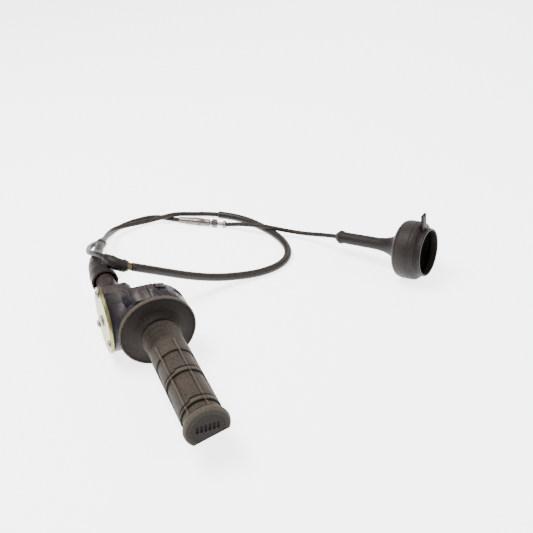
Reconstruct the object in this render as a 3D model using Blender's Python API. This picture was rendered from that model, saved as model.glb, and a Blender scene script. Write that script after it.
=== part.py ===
"""Geared twist-grip throttle for an off-road motorcycle, with its cable and carburettor boot.

A rubber grip on a plastic throttle tube turns a bevel gear. Inside the gearbox at the left of
the clamp housing that gear turns a cable drum, whose axle crosses the handlebar at a right
angle, and the drum pulls the inner wire of a cable that leaves beside the handlebar.

Sizes are in millimetres in the tables below and become metres when a mesh is made. Places are
given from the datum: x and y from the point of the handlebar's axis in the plane of the grip
flange's rim, z up from the surface that everything lies on. +Y runs along the handlebar from
the grip's end to the clamp housing, +Z is up, and the gearbox is on the -X side.
"""

import math

import bmesh
import bpy
from mathutils import Matrix, Vector

MM = 0.001

# ---- Where the datum stands in the world -------------------------------------------------
DATUM_X = 4.15 * MM
DATUM_Y = 13.5 * MM
BAR_HEIGHT = 32.7 * MM

# ---- Handlebar, grip and throttle tube ---------------------------------------------------
BAR_BORE_R = 11.2
TUBE_BORE_R = 11.25
TUBE_R = 13.0
TUBE_END = -116.0
TUBE_FACE = 19.2
GRIP_BORE_R = 13.3
GRIP_R = 15.5
GRIP_END = -121.0
END_DISC_R = 17.8
FLANGE_R = 32.7
FLANGE_BACK = 3.9
GRIP_SEGMENTS = 40
END_FLAT_TURN = math.radians(15.8)
END_FLAT_SLOPE = math.radians(46.0)
END_FLAT_DROP = 9.3

# ---- Bevel gears -------------------------------------------------------------------------
TUBE_TEETH = 22
DRUM_TEETH = 18
GEAR_MODULE = 1.6
ADDENDUM = 0.85
DEDENDUM = 1.35
TOOTH_SHARE_ROOT = 0.56
TOOTH_SHARE_TIP = 0.22
GEAR_FACE_RATIO = 0.8
TUBE_GEAR_R = GEAR_MODULE * TUBE_TEETH / 2
DRUM_GEAR_R = GEAR_MODULE * DRUM_TEETH / 2
DRUM_BORE_R = 3.3

# ---- Clamp housing and gearbox -----------------------------------------------------------
DRUM_Y = 33.0
RING_R = 32.0
RING_FRONT = 4.3
RING_BACK = 27.0
COLLAR_R = 16.5
COLLAR_BACK = 35.0
RING_CAVITY_R = 20.6
CAVITY_FRONT = 7.2
CAVITY_BACK = 23.4
FRONT_BORE_R = 13.5
SPLIT_TURN = math.radians(13.0)
SPLIT_GAP = 0.6
LUG_Y = (12.5, 22.5)
LUG_HALF_WIDTH = 8.0
TOP_LUG = (24.0, 33.6)
BOTTOM_LUG = (-31.9, -24.0)
CLAMP_SCREW_OFFSET = 25.8
CLAMP_SCREW_Y = 17.5
GEARBOX_R = 27.5
GEARBOX_FACE = -35.2
GEARBOX_INNER = -11.5
GEARBOX_CAVITY_R = 21.5
GEARBOX_STEP = -18.6
GEAR_POCKET_R = 17.0
GEAR_POCKET_END = -13.2
DECK_X = (-17.0, 4.0)
DECK_Y = (4.9, 25.5)
DECK_TOP = 31.0
SCREW_HOLE_OUTLINE = (
    (0.0, -14.0), (2.5, -14.0), (2.5, 9.3), (3.9, 9.3), (3.9, 30.0), (0.0, 30.0),
)
FAR = 60.0

# ---- Cover, gasket and axle --------------------------------------------------------------
COVER_R = 28.5
GASKET_X = (-36.0, -35.5)
COVER_X = (-38.7, -36.3)
COVER_SCREW_R = 24.5
COVER_SCREW_TURNS = (80.0, 200.0, 320.0)
COVER_SCREW_HOLE_R = 1.75
COVER_SCREW_THREAD_HOLE_R = 1.7
COVER_SCREW_SLOT = 0.8
COVER_DRILL = (-42.0, -34.0)
PIN_R = 3.0
PIN_CLEARANCE = 0.3

# ---- Cable drum --------------------------------------------------------------------------
PULLEY_X = -27.0
PULLEY_R = 18.4
GROOVE_R = 14.9
WIRE_ON_DRUM_R = 16.0
WIRE_R = 0.8
WIRE_TURNS = (2.0, 6.0, 10.0, 14.0, 16.0)
NIPPLE_TURN = math.radians(25.0)
NIPPLE_R = 2.0
NIPPLE_CLEARANCE = 0.4

# ---- Cable neck --------------------------------------------------------------------------
NECK_X = PULLEY_X
NECK_Z = WIRE_ON_DRUM_R
NECK_R = 8.2
NECK_END = 82.0
NECK_THREAD_R = 4.3
NECK_THREAD_START = 60.0
ADJUSTER_R = 3.9
ADJUSTER_END = 94.0
LOCK_NUT_FLATS = 12.0
LOCK_NUT_ENDS = (82.4, 86.4)
LOCK_NUT_BORE_R = 4.2

# ---- Cable -------------------------------------------------------------------------------
CABLE_R = 2.5
REAR_CABLE_R = 2.25
SLEEVE_R = 3.85
SLEEVE_BORE_R = 2.95
CABLE_SPACING = 12.0
SHORT_CABLE_SPACING = 8.0
SLEEVE_START = (133.0, 220.0, 4.3)
CABLE_IN_ADJUSTER = 89.0
BOOT_SPACING = 5.0
BOOT_SIDES = 14
INLINE_BOOT_SPACING = 3.5
INLINE_BOOT_SIDES = 12
SLEEVE_SIDES = 10
BARREL_NUT_FLATS = 8.0
BARREL_NUT_ENDS = (37.0, 43.0)
BARREL_NUT_BORE_R = 2.2

# ---- Carburettor boot --------------------------------------------------------------------
CAP_MOUTH = (275.2, 18.8, 31.75)
CAP_HEADING = math.radians(-56.3)
CAP_RISE = math.radians(7.5)
CABLE_IN_CAP = (92.0, 80.6)
PULL_TAB = ((-6.0, 21.5, 3.6), (6.0, 40.0, 6.2))

# The axis of a cable drum's turned pieces runs along +X, the handlebar's along +Y.
ALONG_X = Matrix.Rotation(math.radians(90.0), 4, "Y")
ALONG_Y = Matrix.Rotation(math.radians(-90.0), 4, "X")
ON_AXIS = 1e-6


# ---- Boot radii, as (share of the length, radius) stations ----------------------------------
MAIN_BOOT_OUTER = (
    (0.0, 11.4), (0.1, 11.2), (0.22, 9.6), (0.36, 7.2), (0.5, 5.2), (0.62, 4.4), (0.93, 4.2),
    (0.94, 4.9), (1.0, 4.9),
)
MAIN_BOOT_INNER = ((0.0, 9.9), (0.1, 9.7), (0.2, 8.6), (0.3, 5.6), (0.42, 3.2), (1.0, 3.1))
INLINE_BOOT_OUTER = ((0.0, 5.6), (0.6, 5.5), (0.8, 4.4), (1.0, 3.6))
INLINE_BOOT_INNER = ((0.0, 4.6), (0.3, 4.6), (0.45, 3.3), (1.0, 3.1))


# ---- Outlines, as (radius, height along the axis) in millimetres --------------------------
GRIP_OUTLINE = (
    (0.0, GRIP_END), (END_DISC_R - 1.9, GRIP_END), (END_DISC_R - 0.5, GRIP_END + 0.6),
    (END_DISC_R, GRIP_END + 1.8), (END_DISC_R, GRIP_END + 3.4), (END_DISC_R - 0.6, GRIP_END + 4.6),
    (GRIP_R + 0.4, GRIP_END + 5.6), (GRIP_R, GRIP_END + 7.2), (GRIP_R, -16.0), (GRIP_R + 0.7, -13.5),
    (GRIP_R + 0.9, -8.6), (GRIP_R + 0.1, -7.6), (GRIP_R + 0.1, -6.8), (17.4, -6.2), (18.8, -3.4),
    (21.5, 0.0), (26.0, 1.3), (FLANGE_R - 2.3, 1.2), (FLANGE_R - 1.1, 0.0), (FLANGE_R - 0.4, 0.0),
    (FLANGE_R, 0.6), (FLANGE_R, FLANGE_BACK - 0.7), (FLANGE_R - 0.7, FLANGE_BACK),
    (GRIP_BORE_R, FLANGE_BACK), (GRIP_BORE_R, TUBE_END - 0.6), (0.0, TUBE_END - 0.6),
)
TUBE_OUTLINE = (
    (TUBE_BORE_R, TUBE_END), (TUBE_R, TUBE_END), (TUBE_R, 8.5), (19.4, 8.5), (19.4, 10.4),
    (15.4, 11.6), (15.4, TUBE_FACE), (TUBE_BORE_R, TUBE_FACE),
)
WASHER_OUTLINE = ((13.4, 7.5), (19.0, 7.5), (19.0, 8.2), (13.4, 8.2))
RING_OUTLINE = (
    (0.0, RING_FRONT), (RING_R - 0.8, RING_FRONT), (RING_R, RING_FRONT + 0.8), (RING_R, RING_BACK - 3.4),
    (RING_R - 1.6, RING_BACK - 0.8), (RING_R - 3.4, RING_BACK), (COLLAR_R, RING_BACK),
    (COLLAR_R, COLLAR_BACK - 0.6), (COLLAR_R - 0.6, COLLAR_BACK), (0.0, COLLAR_BACK),
)
DRUM_OUTLINE = (
    (DRUM_BORE_R, -34.3), (8.0, -34.3), (8.0, -33.4), (PULLEY_R, -33.4), (PULLEY_R, PULLEY_X - 1.4),
    (GROOVE_R, PULLEY_X - 1.1), (GROOVE_R, PULLEY_X + 1.1), (PULLEY_R, PULLEY_X + 1.4),
    (PULLEY_R, -21.4), (12.4, -20.6), (12.4, -17.3), (DRUM_BORE_R, -17.3),
)
DRUM_WASHER_OUTLINE = ((3.4, -35.2), (7.6, -35.2), (7.6, -34.6), (3.4, -34.6))
PIN_OUTLINE = (
    (0.0, -40.6), (3.6, -40.6), (4.8, -39.8), (4.8, -39.0), (PIN_R, -39.0), (PIN_R, -14.0),
    (PIN_R - 0.5, -13.5), (0.0, -13.5),
)
COVER_OUTLINE = (
    (0.0, COVER_X[0]), (COVER_R - 0.8, COVER_X[0]), (COVER_R, COVER_X[0] + 0.8), (COVER_R, COVER_X[1]),
    (0.0, COVER_X[1]),
)
GASKET_OUTLINE = ((21.4, GASKET_X[0]), (27.3, GASKET_X[0]), (27.3, GASKET_X[1]), (21.4, GASKET_X[1]))
COVER_SCREW_OUTLINE = (
    (0.0, -41.0), (1.9, -41.0), (3.3, -40.1), (3.4, -39.0), (1.4, -39.0), (1.4, -26.4), (0.0, -25.6),
)
CLAMP_SCREW_OUTLINE = (
    (0.0, -13.0), (2.2, -13.0), (2.2, 9.6), (3.5, 9.6), (3.5, 12.4), (3.0, 12.9), (0.0, 12.9),
)
ADJUSTER_OUTLINE = (
    (1.5, 66.0), (ADJUSTER_R, 66.0), (ADJUSTER_R, ADJUSTER_END - 3.0),
    (ADJUSTER_R + 0.9, ADJUSTER_END - 2.6), (ADJUSTER_R + 0.9, ADJUSTER_END - 0.4),
    (ADJUSTER_R + 0.5, ADJUSTER_END), (3.1, ADJUSTER_END), (3.1, 88.4), (1.5, 88.4),
)
INLINE_FITTING_OUTLINE = (
    (2.9, -3.0), (3.4, -3.0), (3.4, 0.0), (5.0, 0.4), (5.0, 2.2), (4.2, 2.6), (4.2, 6.6), (3.2, 6.6),
    (2.9, 3.0),
)
BARREL_OUTLINE = (
    (3.0, 0.0), (3.35, 0.0), (3.45, 3.0), (3.9, 9.0), (4.3, 18.0), (4.3, 26.5), (3.9, 27.2),
    (3.9, 34.8), (2.4, 34.8), (2.4, 30.0), (0.0, 30.0), (0.0, 4.8), (3.0, 4.8),
)
BARREL_SCREW_OUTLINE = (
    (0.0, 30.4), (2.1, 30.4), (2.1, 49.4), (3.7, 49.8), (3.7, 52.6), (3.0, 53.2), (2.6, 53.2),
    (2.6, 50.4), (0.0, 50.4),
)
CAP_OUTLINE = (
    (21.6, 0.0), (23.2, 0.0), (23.6, 0.8), (23.6, 3.4), (22.6, 4.2), (23.4, 5.6), (26.6, 7.0),
    (28.3, 9.0), (28.6, 13.0), (28.6, 22.0), (27.6, 26.0), (24.6, 28.6), (17.5, 30.2), (12.8, 33.5),
    (9.4, 39.0), (7.2, 46.0), (6.2, 54.0), (6.0, 92.0), (6.9, 94.2), (6.9, 96.4), (5.6, 98.2),
    (3.4, 101.0), (2.7, 101.0), (2.7, 96.5), (3.7, 95.0), (3.7, 54.0), (5.0, 45.0), (8.0, 37.0),
    (14.0, 32.4), (22.6, 28.0), (26.0, 23.0), (26.0, 10.0), (21.6, 6.4),
)
CAP_FITTING_OUTLINE = (
    (1.15, 46.5), (2.6, 46.5), (3.1, 47.2), (3.1, 84.0), (2.55, 84.0), (2.55, 80.0), (1.15, 80.0),
)
GEARBOX_OUTLINE = (
    (0.0, GEARBOX_FACE), (GEARBOX_R, GEARBOX_FACE), (GEARBOX_R, -14.0),
    (GEARBOX_R - 1.8, GEARBOX_INNER), (0.0, GEARBOX_INNER),
)
GEARBOX_CAVITY_OUTLINE = (
    (0.0, GEARBOX_FACE - 2.0), (GEARBOX_CAVITY_R, GEARBOX_FACE - 2.0), (GEARBOX_CAVITY_R, GEARBOX_STEP),
    (GEAR_POCKET_R, GEARBOX_STEP), (GEAR_POCKET_R, GEAR_POCKET_END), (0.0, GEAR_POCKET_END),
)
NECK_OUTLINE = (
    (0.0, 36.0), (NECK_R, 36.0), (NECK_R, NECK_END - 1.0), (NECK_R - 1.0, NECK_END), (0.0, NECK_END),
)
NECK_PASSAGE_OUTLINE = (
    (0.0, 40.0), (1.6, 40.0), (1.6, NECK_THREAD_START), (NECK_THREAD_R, NECK_THREAD_START + 2.0),
    (NECK_THREAD_R, NECK_END + 2.0), (0.0, NECK_END + 2.0),
)
WIRE_END_OUTLINE = ((0.0, 17.4), (WIRE_R, 17.4), (WIRE_R, 54.0), (0.0, 54.0))
WIRE_NIPPLE_OUTLINE = ((0.0, 12.0), (2.4, 12.0), (2.4, 17.1), (0.0, 17.1))

# ---- Routes, as (x, y, z) in millimetres from the datum ------------------------------------
MAIN_BOOT_ROUTE = (
    (-27.0, 66.0, 48.75), (-27.0, 78.0, 48.75), (-27.0, 88.0, 48.75), (-26.6, 98.0, 48.0),
    (-24.6, 112.0, 45.0), (-20.6, 128.0, 41.0), (-16.4, 143.0, 37.4), (-12.6, 156.0, 33.6),
    (-10.2, 163.0, 31.2),
)
FRONT_ROUTE = MAIN_BOOT_ROUTE[2:] + (
    (-5.2, 176.6, 26.0), (2.6, 200.5, 17.6), (11.2, 218.7, 11.6), (19.4, 226.0, 9.6),
    (29.1, 230.6, 7.6), (42.9, 235.2, 5.0), (57.6, 237.7, 4.0), (67.6, 234.6, 6.4),
    (78.0, 230.4, 9.8), (90.6, 230.4, 9.2), (104.8, 232.1, 4.8), (119.9, 227.6, 4.3),
    (133.0, 220.0, 4.3), (144.0, 211.0, 4.3), (153.0, 201.0, 4.3), (160.0, 190.0, 4.3),
    (166.0, 176.0, 4.3), (171.0, 162.0, 4.3), (174.0, 149.0, 4.3), (175.0, 138.0, 4.3),
    (174.0, 126.0, 4.3), (171.0, 115.0, 4.3), (165.0, 105.0, 4.3), (157.0, 98.0, 4.3),
    (147.0, 93.5, 4.3), (137.0, 91.0, 4.3), (123.4, 89.6, 4.8), (107.4, 88.8, 6.8),
    (87.3, 87.4, 11.0), (68.0, 84.6, 18.0), (53.8, 82.2, 24.5), (41.2, 79.8, 31.0),
    (27.8, 77.0, 38.5), (14.7, 73.9, 46.0), (4.9, 71.7, 51.5), (-1.9, 70.4, 55.2),
    (-5.6, 70.0, 57.0),
)
INLINE_BOOT_ROUTE = (
    (-8.3, 69.7, 58.3), (-12.1, 69.5, 60.1), (-15.9, 71.4, 61.9), (-19.3, 75.6, 63.2), (-22.2, 82.0, 63.4),
)
MIDDLE_ROUTE = (
    (-11.3, 69.4, 59.6), (-13.6, 69.9, 60.7), (-16.1, 71.5, 61.9), (-19.3, 75.6, 63.2), (-22.2, 82.0, 63.4),
    (-25.2, 91.0, 61.8),
    (-28.0, 99.4, 59.0), (-29.8, 107.4, 55.4), (-30.0, 117.6, 50.6), (-28.2, 131.0, 44.8),
    (-25.6, 144.0, 39.2), (-22.0, 155.6, 34.2), (-17.8, 166.0, 29.6), (-12.8, 177.6, 23.6),
    (-8.2, 192.0, 16.0), (-3.4, 205.3, 9.4), (4.4, 219.5, 4.4), (14.0, 231.2, 3.0),
    (23.3, 238.6, 2.9), (31.0, 242.2, 2.9), (38.0, 244.4, 2.9), (47.0, 246.2, 2.9),
    (57.7, 247.0, 2.9), (67.6, 245.6, 2.9), (75.6, 239.6, 2.9), (80.6, 232.4, 3.6),
    (85.3, 227.5, 4.5), (89.0, 224.9, 4.5), (92.5, 222.5, 4.5),
)
BARREL_START = (88.6, 225.2, 4.5)
BARREL_TOWARD = (132.3, 194.9, 4.5)
REAR_ROUTE = (
    (130.2, 196.4, 4.5), (137.0, 191.6, 5.0), (147.0, 183.0, 7.6), (156.0, 172.0, 11.4),
    (164.5, 162.0, 12.4), (174.0, 156.4, 11.2), (185.0, 153.0, 6.4), (196.0, 147.0, 3.4),
    (204.0, 135.0, 7.4), (209.0, 122.8, 12.6), (213.6, 111.2, 17.1), (218.0, 104.6, 18.2),
)


def clear_scene():
    for item in list(bpy.data.objects):
        bpy.data.objects.remove(item, do_unlink=True)


def make_material(name, colour, roughness, metallic=0.0):
    made = bpy.data.materials.new(name)
    made.use_nodes = True
    shader = made.node_tree.nodes["Principled BSDF"]
    shader.inputs["Base Color"].default_value = (*colour, 1.0)
    shader.inputs["Roughness"].default_value = roughness
    shader.inputs["Metallic"].default_value = metallic
    made.diffuse_color = (*colour, 1.0)
    return made


def make_empty(name, location, parent=None):
    empty = bpy.data.objects.new(name, None)
    empty.location = Vector(location) * MM
    empty.parent = parent
    bpy.context.scene.collection.objects.link(empty)
    return empty


def add_object(name, mesh, material, parent, frame=None):
    """Links a bmesh, in millimetres, as an object in metres, smooth but for its sharp edges."""
    bmesh.ops.recalc_face_normals(mesh, faces=mesh.faces)
    bmesh.ops.scale(mesh, vec=(MM, MM, MM), verts=mesh.verts)
    data = bpy.data.meshes.new(name)
    mesh.to_mesh(data)
    mesh.free()
    data.shade_smooth()
    data.set_sharp_from_angle(angle=math.radians(35.0))
    data.materials.append(material)
    made = bpy.data.objects.new(name, data)
    bpy.context.scene.collection.objects.link(made)
    made.parent = parent
    if frame is not None:
        rotation = frame.to_3x3().to_4x4()
        made.matrix_local = Matrix.Translation(frame.to_translation() * MM) @ rotation
    return made


def turned(outline, segments):
    """A closed outline turned about Z; a point on the axis becomes one vertex."""
    mesh = bmesh.new()
    rings = []
    for radius, height in outline:
        if radius < ON_AXIS:
            rings.append([mesh.verts.new((0.0, 0.0, height))])
            continue
        ring = []
        for step in range(segments):
            turn = 2 * math.pi * step / segments
            ring.append(mesh.verts.new((radius * math.cos(turn), radius * math.sin(turn), height)))
        rings.append(ring)
    for first, second in zip(rings, rings[1:] + rings[:1]):
        for step in range(segments):
            after = (step + 1) % segments
            corners = [
                first[step % len(first)],
                first[after % len(first)],
                second[after % len(second)],
                second[step % len(second)],
            ]
            corners = list(dict.fromkeys(corners))
            if len(corners) > 2:
                mesh.faces.new(corners)
    return mesh


def block(low, high):
    mesh = bmesh.new()
    bmesh.ops.create_cube(mesh, size=1.0)
    size = [b - a for a, b in zip(low, high)]
    middle = [(a + b) / 2 for a, b in zip(low, high)]
    bmesh.ops.scale(mesh, vec=size, verts=mesh.verts)
    bmesh.ops.translate(mesh, vec=middle, verts=mesh.verts)
    return mesh


def rod(radius, start, end, segments=20):
    return turned(((0.0, start), (radius, start), (radius, end), (0.0, end)), segments)


def hexagon(across_flats, start, end, bore):
    """A hexagon nut along Z, its corners turned down to a chamfer at both ends."""
    to_corner = 2 / math.sqrt(3.0)
    corner = to_corner * across_flats / 2
    hole = to_corner * bore
    chamfer = 0.5
    outline = (
        (hole, start), (corner - chamfer, start), (corner, start + chamfer), (corner, end - chamfer),
        (corner - chamfer, end), (hole, end),
    )
    return turned(outline, 6)


def helper(made):
    made.hide_render = True
    made.display_type = "WIRE"
    return made


def combine(target, other, operation, solver="EXACT"):
    """Adds a Boolean of the target with another object, which stays in the scene as a guide."""
    helper(other)
    modifier = target.modifiers.new(f"{operation.lower()}_{other.name}", "BOOLEAN")
    modifier.operation = operation
    modifier.object = other
    modifier.solver = solver


def smooth_points(points, spacing):
    """Points at an even spacing on a centripetal Catmull-Rom curve through the given ones."""
    knots = [Vector(point) for point in points]
    knots = [2 * knots[0] - knots[1], *knots, 2 * knots[-1] - knots[-2]]
    dense = [knots[1]]
    steps = 24
    for before, start, end, after in zip(knots, knots[1:], knots[2:], knots[3:]):
        times = [0.0]
        for first, second in ((before, start), (start, end), (end, after)):
            times.append(times[-1] + math.sqrt((second - first).length))
        t0, t1, t2, t3 = times
        for step in range(1, steps + 1):
            t = t1 + (t2 - t1) * step / steps
            a1 = before.lerp(start, (t - t0) / (t1 - t0))
            a2 = start.lerp(end, (t - t1) / (t2 - t1))
            a3 = end.lerp(after, (t - t2) / (t3 - t2))
            b1 = a1.lerp(a2, (t - t0) / (t2 - t0))
            b2 = a2.lerp(a3, (t - t1) / (t3 - t1))
            dense.append(b1.lerp(b2, (t - t1) / (t2 - t1)))
    lengths = [0.0]
    for first, second in zip(dense, dense[1:]):
        lengths.append(lengths[-1] + (second - first).length)
    count = max(2, round(lengths[-1] / spacing))
    found = []
    place = 0
    for step in range(count + 1):
        wanted = lengths[-1] * step / count
        while place < len(dense) - 2 and lengths[place + 1] < wanted:
            place += 1
        share = (wanted - lengths[place]) / (lengths[place + 1] - lengths[place])
        found.append(dense[place].lerp(dense[place + 1], share))
    return found


def swept(centres, outer, inner, sides):
    """A hollow tube along the centres, with an outer and an inner radius at each of them."""
    mesh = bmesh.new()
    rings_out = []
    rings_in = []
    across = None
    for place, centre in enumerate(centres):
        ahead = centres[min(place + 1, len(centres) - 1)]
        behind = centres[max(place - 1, 0)]
        along = (ahead - behind).normalized()
        if across is None:
            across = along.cross(Vector((0.0, 0.0, 1.0))).normalized()
        across = (across - along * across.dot(along)).normalized()
        up = along.cross(across)
        for rings, radius in ((rings_out, outer[place]), (rings_in, inner[place])):
            ring = []
            for side in range(sides):
                turn = 2 * math.pi * side / sides
                outward = across * math.cos(turn) + up * math.sin(turn)
                ring.append(mesh.verts.new(centre + radius * outward))
            rings.append(ring)
    loop = rings_out + rings_in[::-1]
    for first, second in zip(loop, loop[1:] + loop[:1]):
        for side in range(sides):
            after = (side + 1) % sides
            mesh.faces.new((first[side], first[after], second[after], second[side]))
    return mesh


def radii_along(count, stations):
    """Radii at evenly spread centres, read between (share of the length, radius) stations."""
    radii = []
    for place in range(count):
        share = place / (count - 1)
        for (start, first), (end, second) in zip(stations, stations[1:]):
            if start <= share <= end:
                radii.append(first + (second - first) * (share - start) / (end - start))
                break
    return radii


def cable_object(name, points, radius, material, parent):
    """A round cable as a poly curve through the points, with closed ends."""
    data = bpy.data.curves.new(name, "CURVE")
    data.dimensions = "3D"
    data.bevel_depth = radius * MM
    data.bevel_resolution = 2
    data.use_fill_caps = True
    spline = data.splines.new("POLY")
    spline.points.add(len(points) - 1)
    for knot, point in zip(spline.points, points):
        knot.co = (*(Vector(point) * MM), 1.0)
    data.materials.append(material)
    made = bpy.data.objects.new(name, data)
    bpy.context.scene.collection.objects.link(made)
    made.parent = parent
    return made


def bevel_gear(teeth, pitch_radius, cone_distance, bore, half_tooth_turn):
    """A straight bevel gear about Z whose cones meet at z = 0 and whose large end is at -cone_distance.

    half_tooth_turn is the turn of the middle of the first tooth.
    """
    pitch = 2 * math.pi / teeth
    tip = pitch_radius + ADDENDUM
    root = pitch_radius - DEDENDUM
    section = []
    for tooth in range(teeth):
        middle = half_tooth_turn + tooth * pitch
        root_half = TOOTH_SHARE_ROOT * pitch / 2
        tip_half = TOOTH_SHARE_TIP * pitch / 2
        for turn, radius in (
            (middle - root_half, root), (middle - tip_half, tip),
            (middle + tip_half, tip), (middle + root_half, root),
        ):
            section.append((turn, radius))
    mesh = bmesh.new()
    rings = []
    for ratio in (1.0, GEAR_FACE_RATIO):
        height = -cone_distance * ratio
        toothed = []
        plain = []
        for turn, radius in section:
            large = ratio * radius
            toothed.append(mesh.verts.new((large * math.cos(turn), large * math.sin(turn), height)))
            plain.append(mesh.verts.new((bore * math.cos(turn), bore * math.sin(turn), height)))
        rings.append((toothed, plain))
    (large, large_bore), (small, small_bore) = rings
    loop = [large_bore, large, small, small_bore]
    count = len(section)
    for first, second in zip(loop, loop[1:] + loop[:1]):
        for step in range(count):
            after = (step + 1) % count
            mesh.faces.new((first[step], first[after], second[after], second[step]))
    return mesh


def build_grip(twist, rubber):
    grip = add_object("grip_rubber", turned(GRIP_OUTLINE, GRIP_SEGMENTS), rubber, twist, ALONG_Y)
    # The lower edge of the end disc is worn to a slanting flat.
    wear = block((-40.0, -30.0, -40.0), (40.0, 0.0, 0.0))
    frame = (
        Matrix.Translation((0.0, GRIP_END, 0.0))
        @ Matrix.Rotation(-END_FLAT_TURN, 4, "Y")
        @ Matrix.Translation((0.0, 0.0, -END_FLAT_DROP))
        @ Matrix.Rotation(END_FLAT_SLOPE - math.radians(90.0), 4, "X")
    )
    combine(grip, add_object("end_wear_cutter", wear, rubber, twist, frame), "DIFFERENCE")


def build_tube(twist, plastic):
    tube = add_object("throttle_tube", turned(TUBE_OUTLINE, 40), plastic, twist, ALONG_Y)
    # A tooth of this gear and a gap of the drum's point at each other where the pitch cones touch.
    gear = bevel_gear(TUBE_TEETH, TUBE_GEAR_R, DRUM_GEAR_R, TUBE_BORE_R, math.pi)
    frame = Matrix.Translation((0.0, DRUM_Y, 0.0)) @ ALONG_Y
    combine(tube, add_object("tube_gear_blank", gear, plastic, twist, frame), "UNION")


def lug_frame():
    """Turned about the handlebar's axis so that local x is square to the split between the halves."""
    return Matrix.Rotation(SPLIT_TURN, 4, "Y")


def ring_with_lugs(name, black, housing):
    """The ring around the handlebar with its two lugs, still solid and in one piece."""
    ring = add_object(name, turned(RING_OUTLINE, 48), black, housing, ALONG_Y)
    for label, (low, high) in (("top", TOP_LUG), ("bottom", BOTTOM_LUG)):
        lug = block((-LUG_HALF_WIDTH, LUG_Y[0], low), (LUG_HALF_WIDTH, LUG_Y[1], high))
        bmesh.ops.bevel(lug, geom=lug.edges[:], offset=1.0, segments=1, affect="EDGES")
        combine(ring, add_object(f"{name}_{label}_lug", lug, black, housing, lug_frame()), "UNION")
    return ring


def hollow_ring(ring, black, housing):
    """Cuts the bores along the handlebar and the clamp screws' holes."""
    name = ring.name
    bores = (
        ("front_bore", FRONT_BORE_R, RING_FRONT - 2.0, CAVITY_FRONT + 1.0, 40),
        ("gear_cavity", RING_CAVITY_R, CAVITY_FRONT, CAVITY_BACK, 40),
        ("bar_bore", BAR_BORE_R, CAVITY_BACK - 1.0, COLLAR_BACK + 2.0, 40),
    )
    for label, radius, start, end, segments in bores:
        cutter = add_object(f"{name}_{label}", rod(radius, start, end, segments), black, housing, ALONG_Y)
        combine(ring, cutter, "DIFFERENCE")
    for label, height in (("top", CLAMP_SCREW_OFFSET), ("bottom", -CLAMP_SCREW_OFFSET)):
        frame = lug_frame() @ Matrix.Translation((0.0, CLAMP_SCREW_Y, height)) @ ALONG_X
        hole = turned(SCREW_HOLE_OUTLINE, 16)
        cutter = add_object(f"{name}_{label}_screw_hole", hole, black, housing, frame)
        combine(ring, cutter, "DIFFERENCE", "MANIFOLD")


def build_housing(housing, black):
    body = ring_with_lugs("housing_body", black, housing)
    gearbox_frame = Matrix.Translation((0.0, DRUM_Y, 0.0)) @ ALONG_X
    gearbox = add_object("gearbox_blank", turned(GEARBOX_OUTLINE, 48), black, housing, gearbox_frame)
    combine(body, gearbox, "UNION")
    deck = block((DECK_X[0], DECK_Y[0], 0.0), (DECK_X[1], DECK_Y[1], DECK_TOP))
    combine(body, add_object("deck_blank", deck, black, housing), "UNION")
    neck_frame = Matrix.Translation((NECK_X, 0.0, NECK_Z)) @ ALONG_Y
    combine(body, add_object("neck_blank", turned(NECK_OUTLINE, 24), black, housing, neck_frame), "UNION")
    hollow_ring(body, black, housing)
    cavity = turned(GEARBOX_CAVITY_OUTLINE, 40)
    combine(body, add_object("gearbox_cavity", cavity, black, housing, gearbox_frame), "DIFFERENCE")
    passage = turned(NECK_PASSAGE_OUTLINE, 20)
    combine(body, add_object("neck_passage", passage, black, housing, neck_frame), "DIFFERENCE")
    for number, frame in enumerate(cover_screw_frames(), 1):
        hole = rod(COVER_SCREW_THREAD_HOLE_R, GEARBOX_FACE - 2.0, -24.8, 14)
        combine(body, add_object(f"cover_screw_hole_{number}", hole, black, housing, frame), "DIFFERENCE")
    other_side = block((0.0, -FAR, -FAR), (FAR, FAR, FAR))
    combine(body, add_object("body_split_cutter", other_side, black, housing, lug_frame()), "DIFFERENCE")


def cover_screw_frames():
    """Axes of the cover screws, along X, spread around the drum's axis."""
    frames = []
    for degrees in COVER_SCREW_TURNS:
        turn = math.radians(degrees)
        y = DRUM_Y + COVER_SCREW_R * math.cos(turn)
        frames.append(Matrix.Translation((0.0, y, COVER_SCREW_R * math.sin(turn))) @ ALONG_X)
    return frames


def build_clamp(housing, black, steel):
    clamp = ring_with_lugs("clamp_half", black, housing)
    hollow_ring(clamp, black, housing)
    other_side = block((-FAR, -FAR, -FAR), (SPLIT_GAP, FAR, FAR))
    combine(clamp, add_object("clamp_split_cutter", other_side, black, housing, lug_frame()), "DIFFERENCE")
    for label, height in (("upper", CLAMP_SCREW_OFFSET), ("lower", -CLAMP_SCREW_OFFSET)):
        frame = lug_frame() @ Matrix.Translation((0.0, CLAMP_SCREW_Y, height)) @ ALONG_X
        screw = add_object(f"clamp_screw_{label}", turned(CLAMP_SCREW_OUTLINE, 16), steel, housing, frame)
        socket = hexagon(4.0, 11.0, 16.0, 0.0)
        combine(screw, add_object(f"socket_cutter_{label}", socket, steel, housing, frame), "DIFFERENCE")


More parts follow.
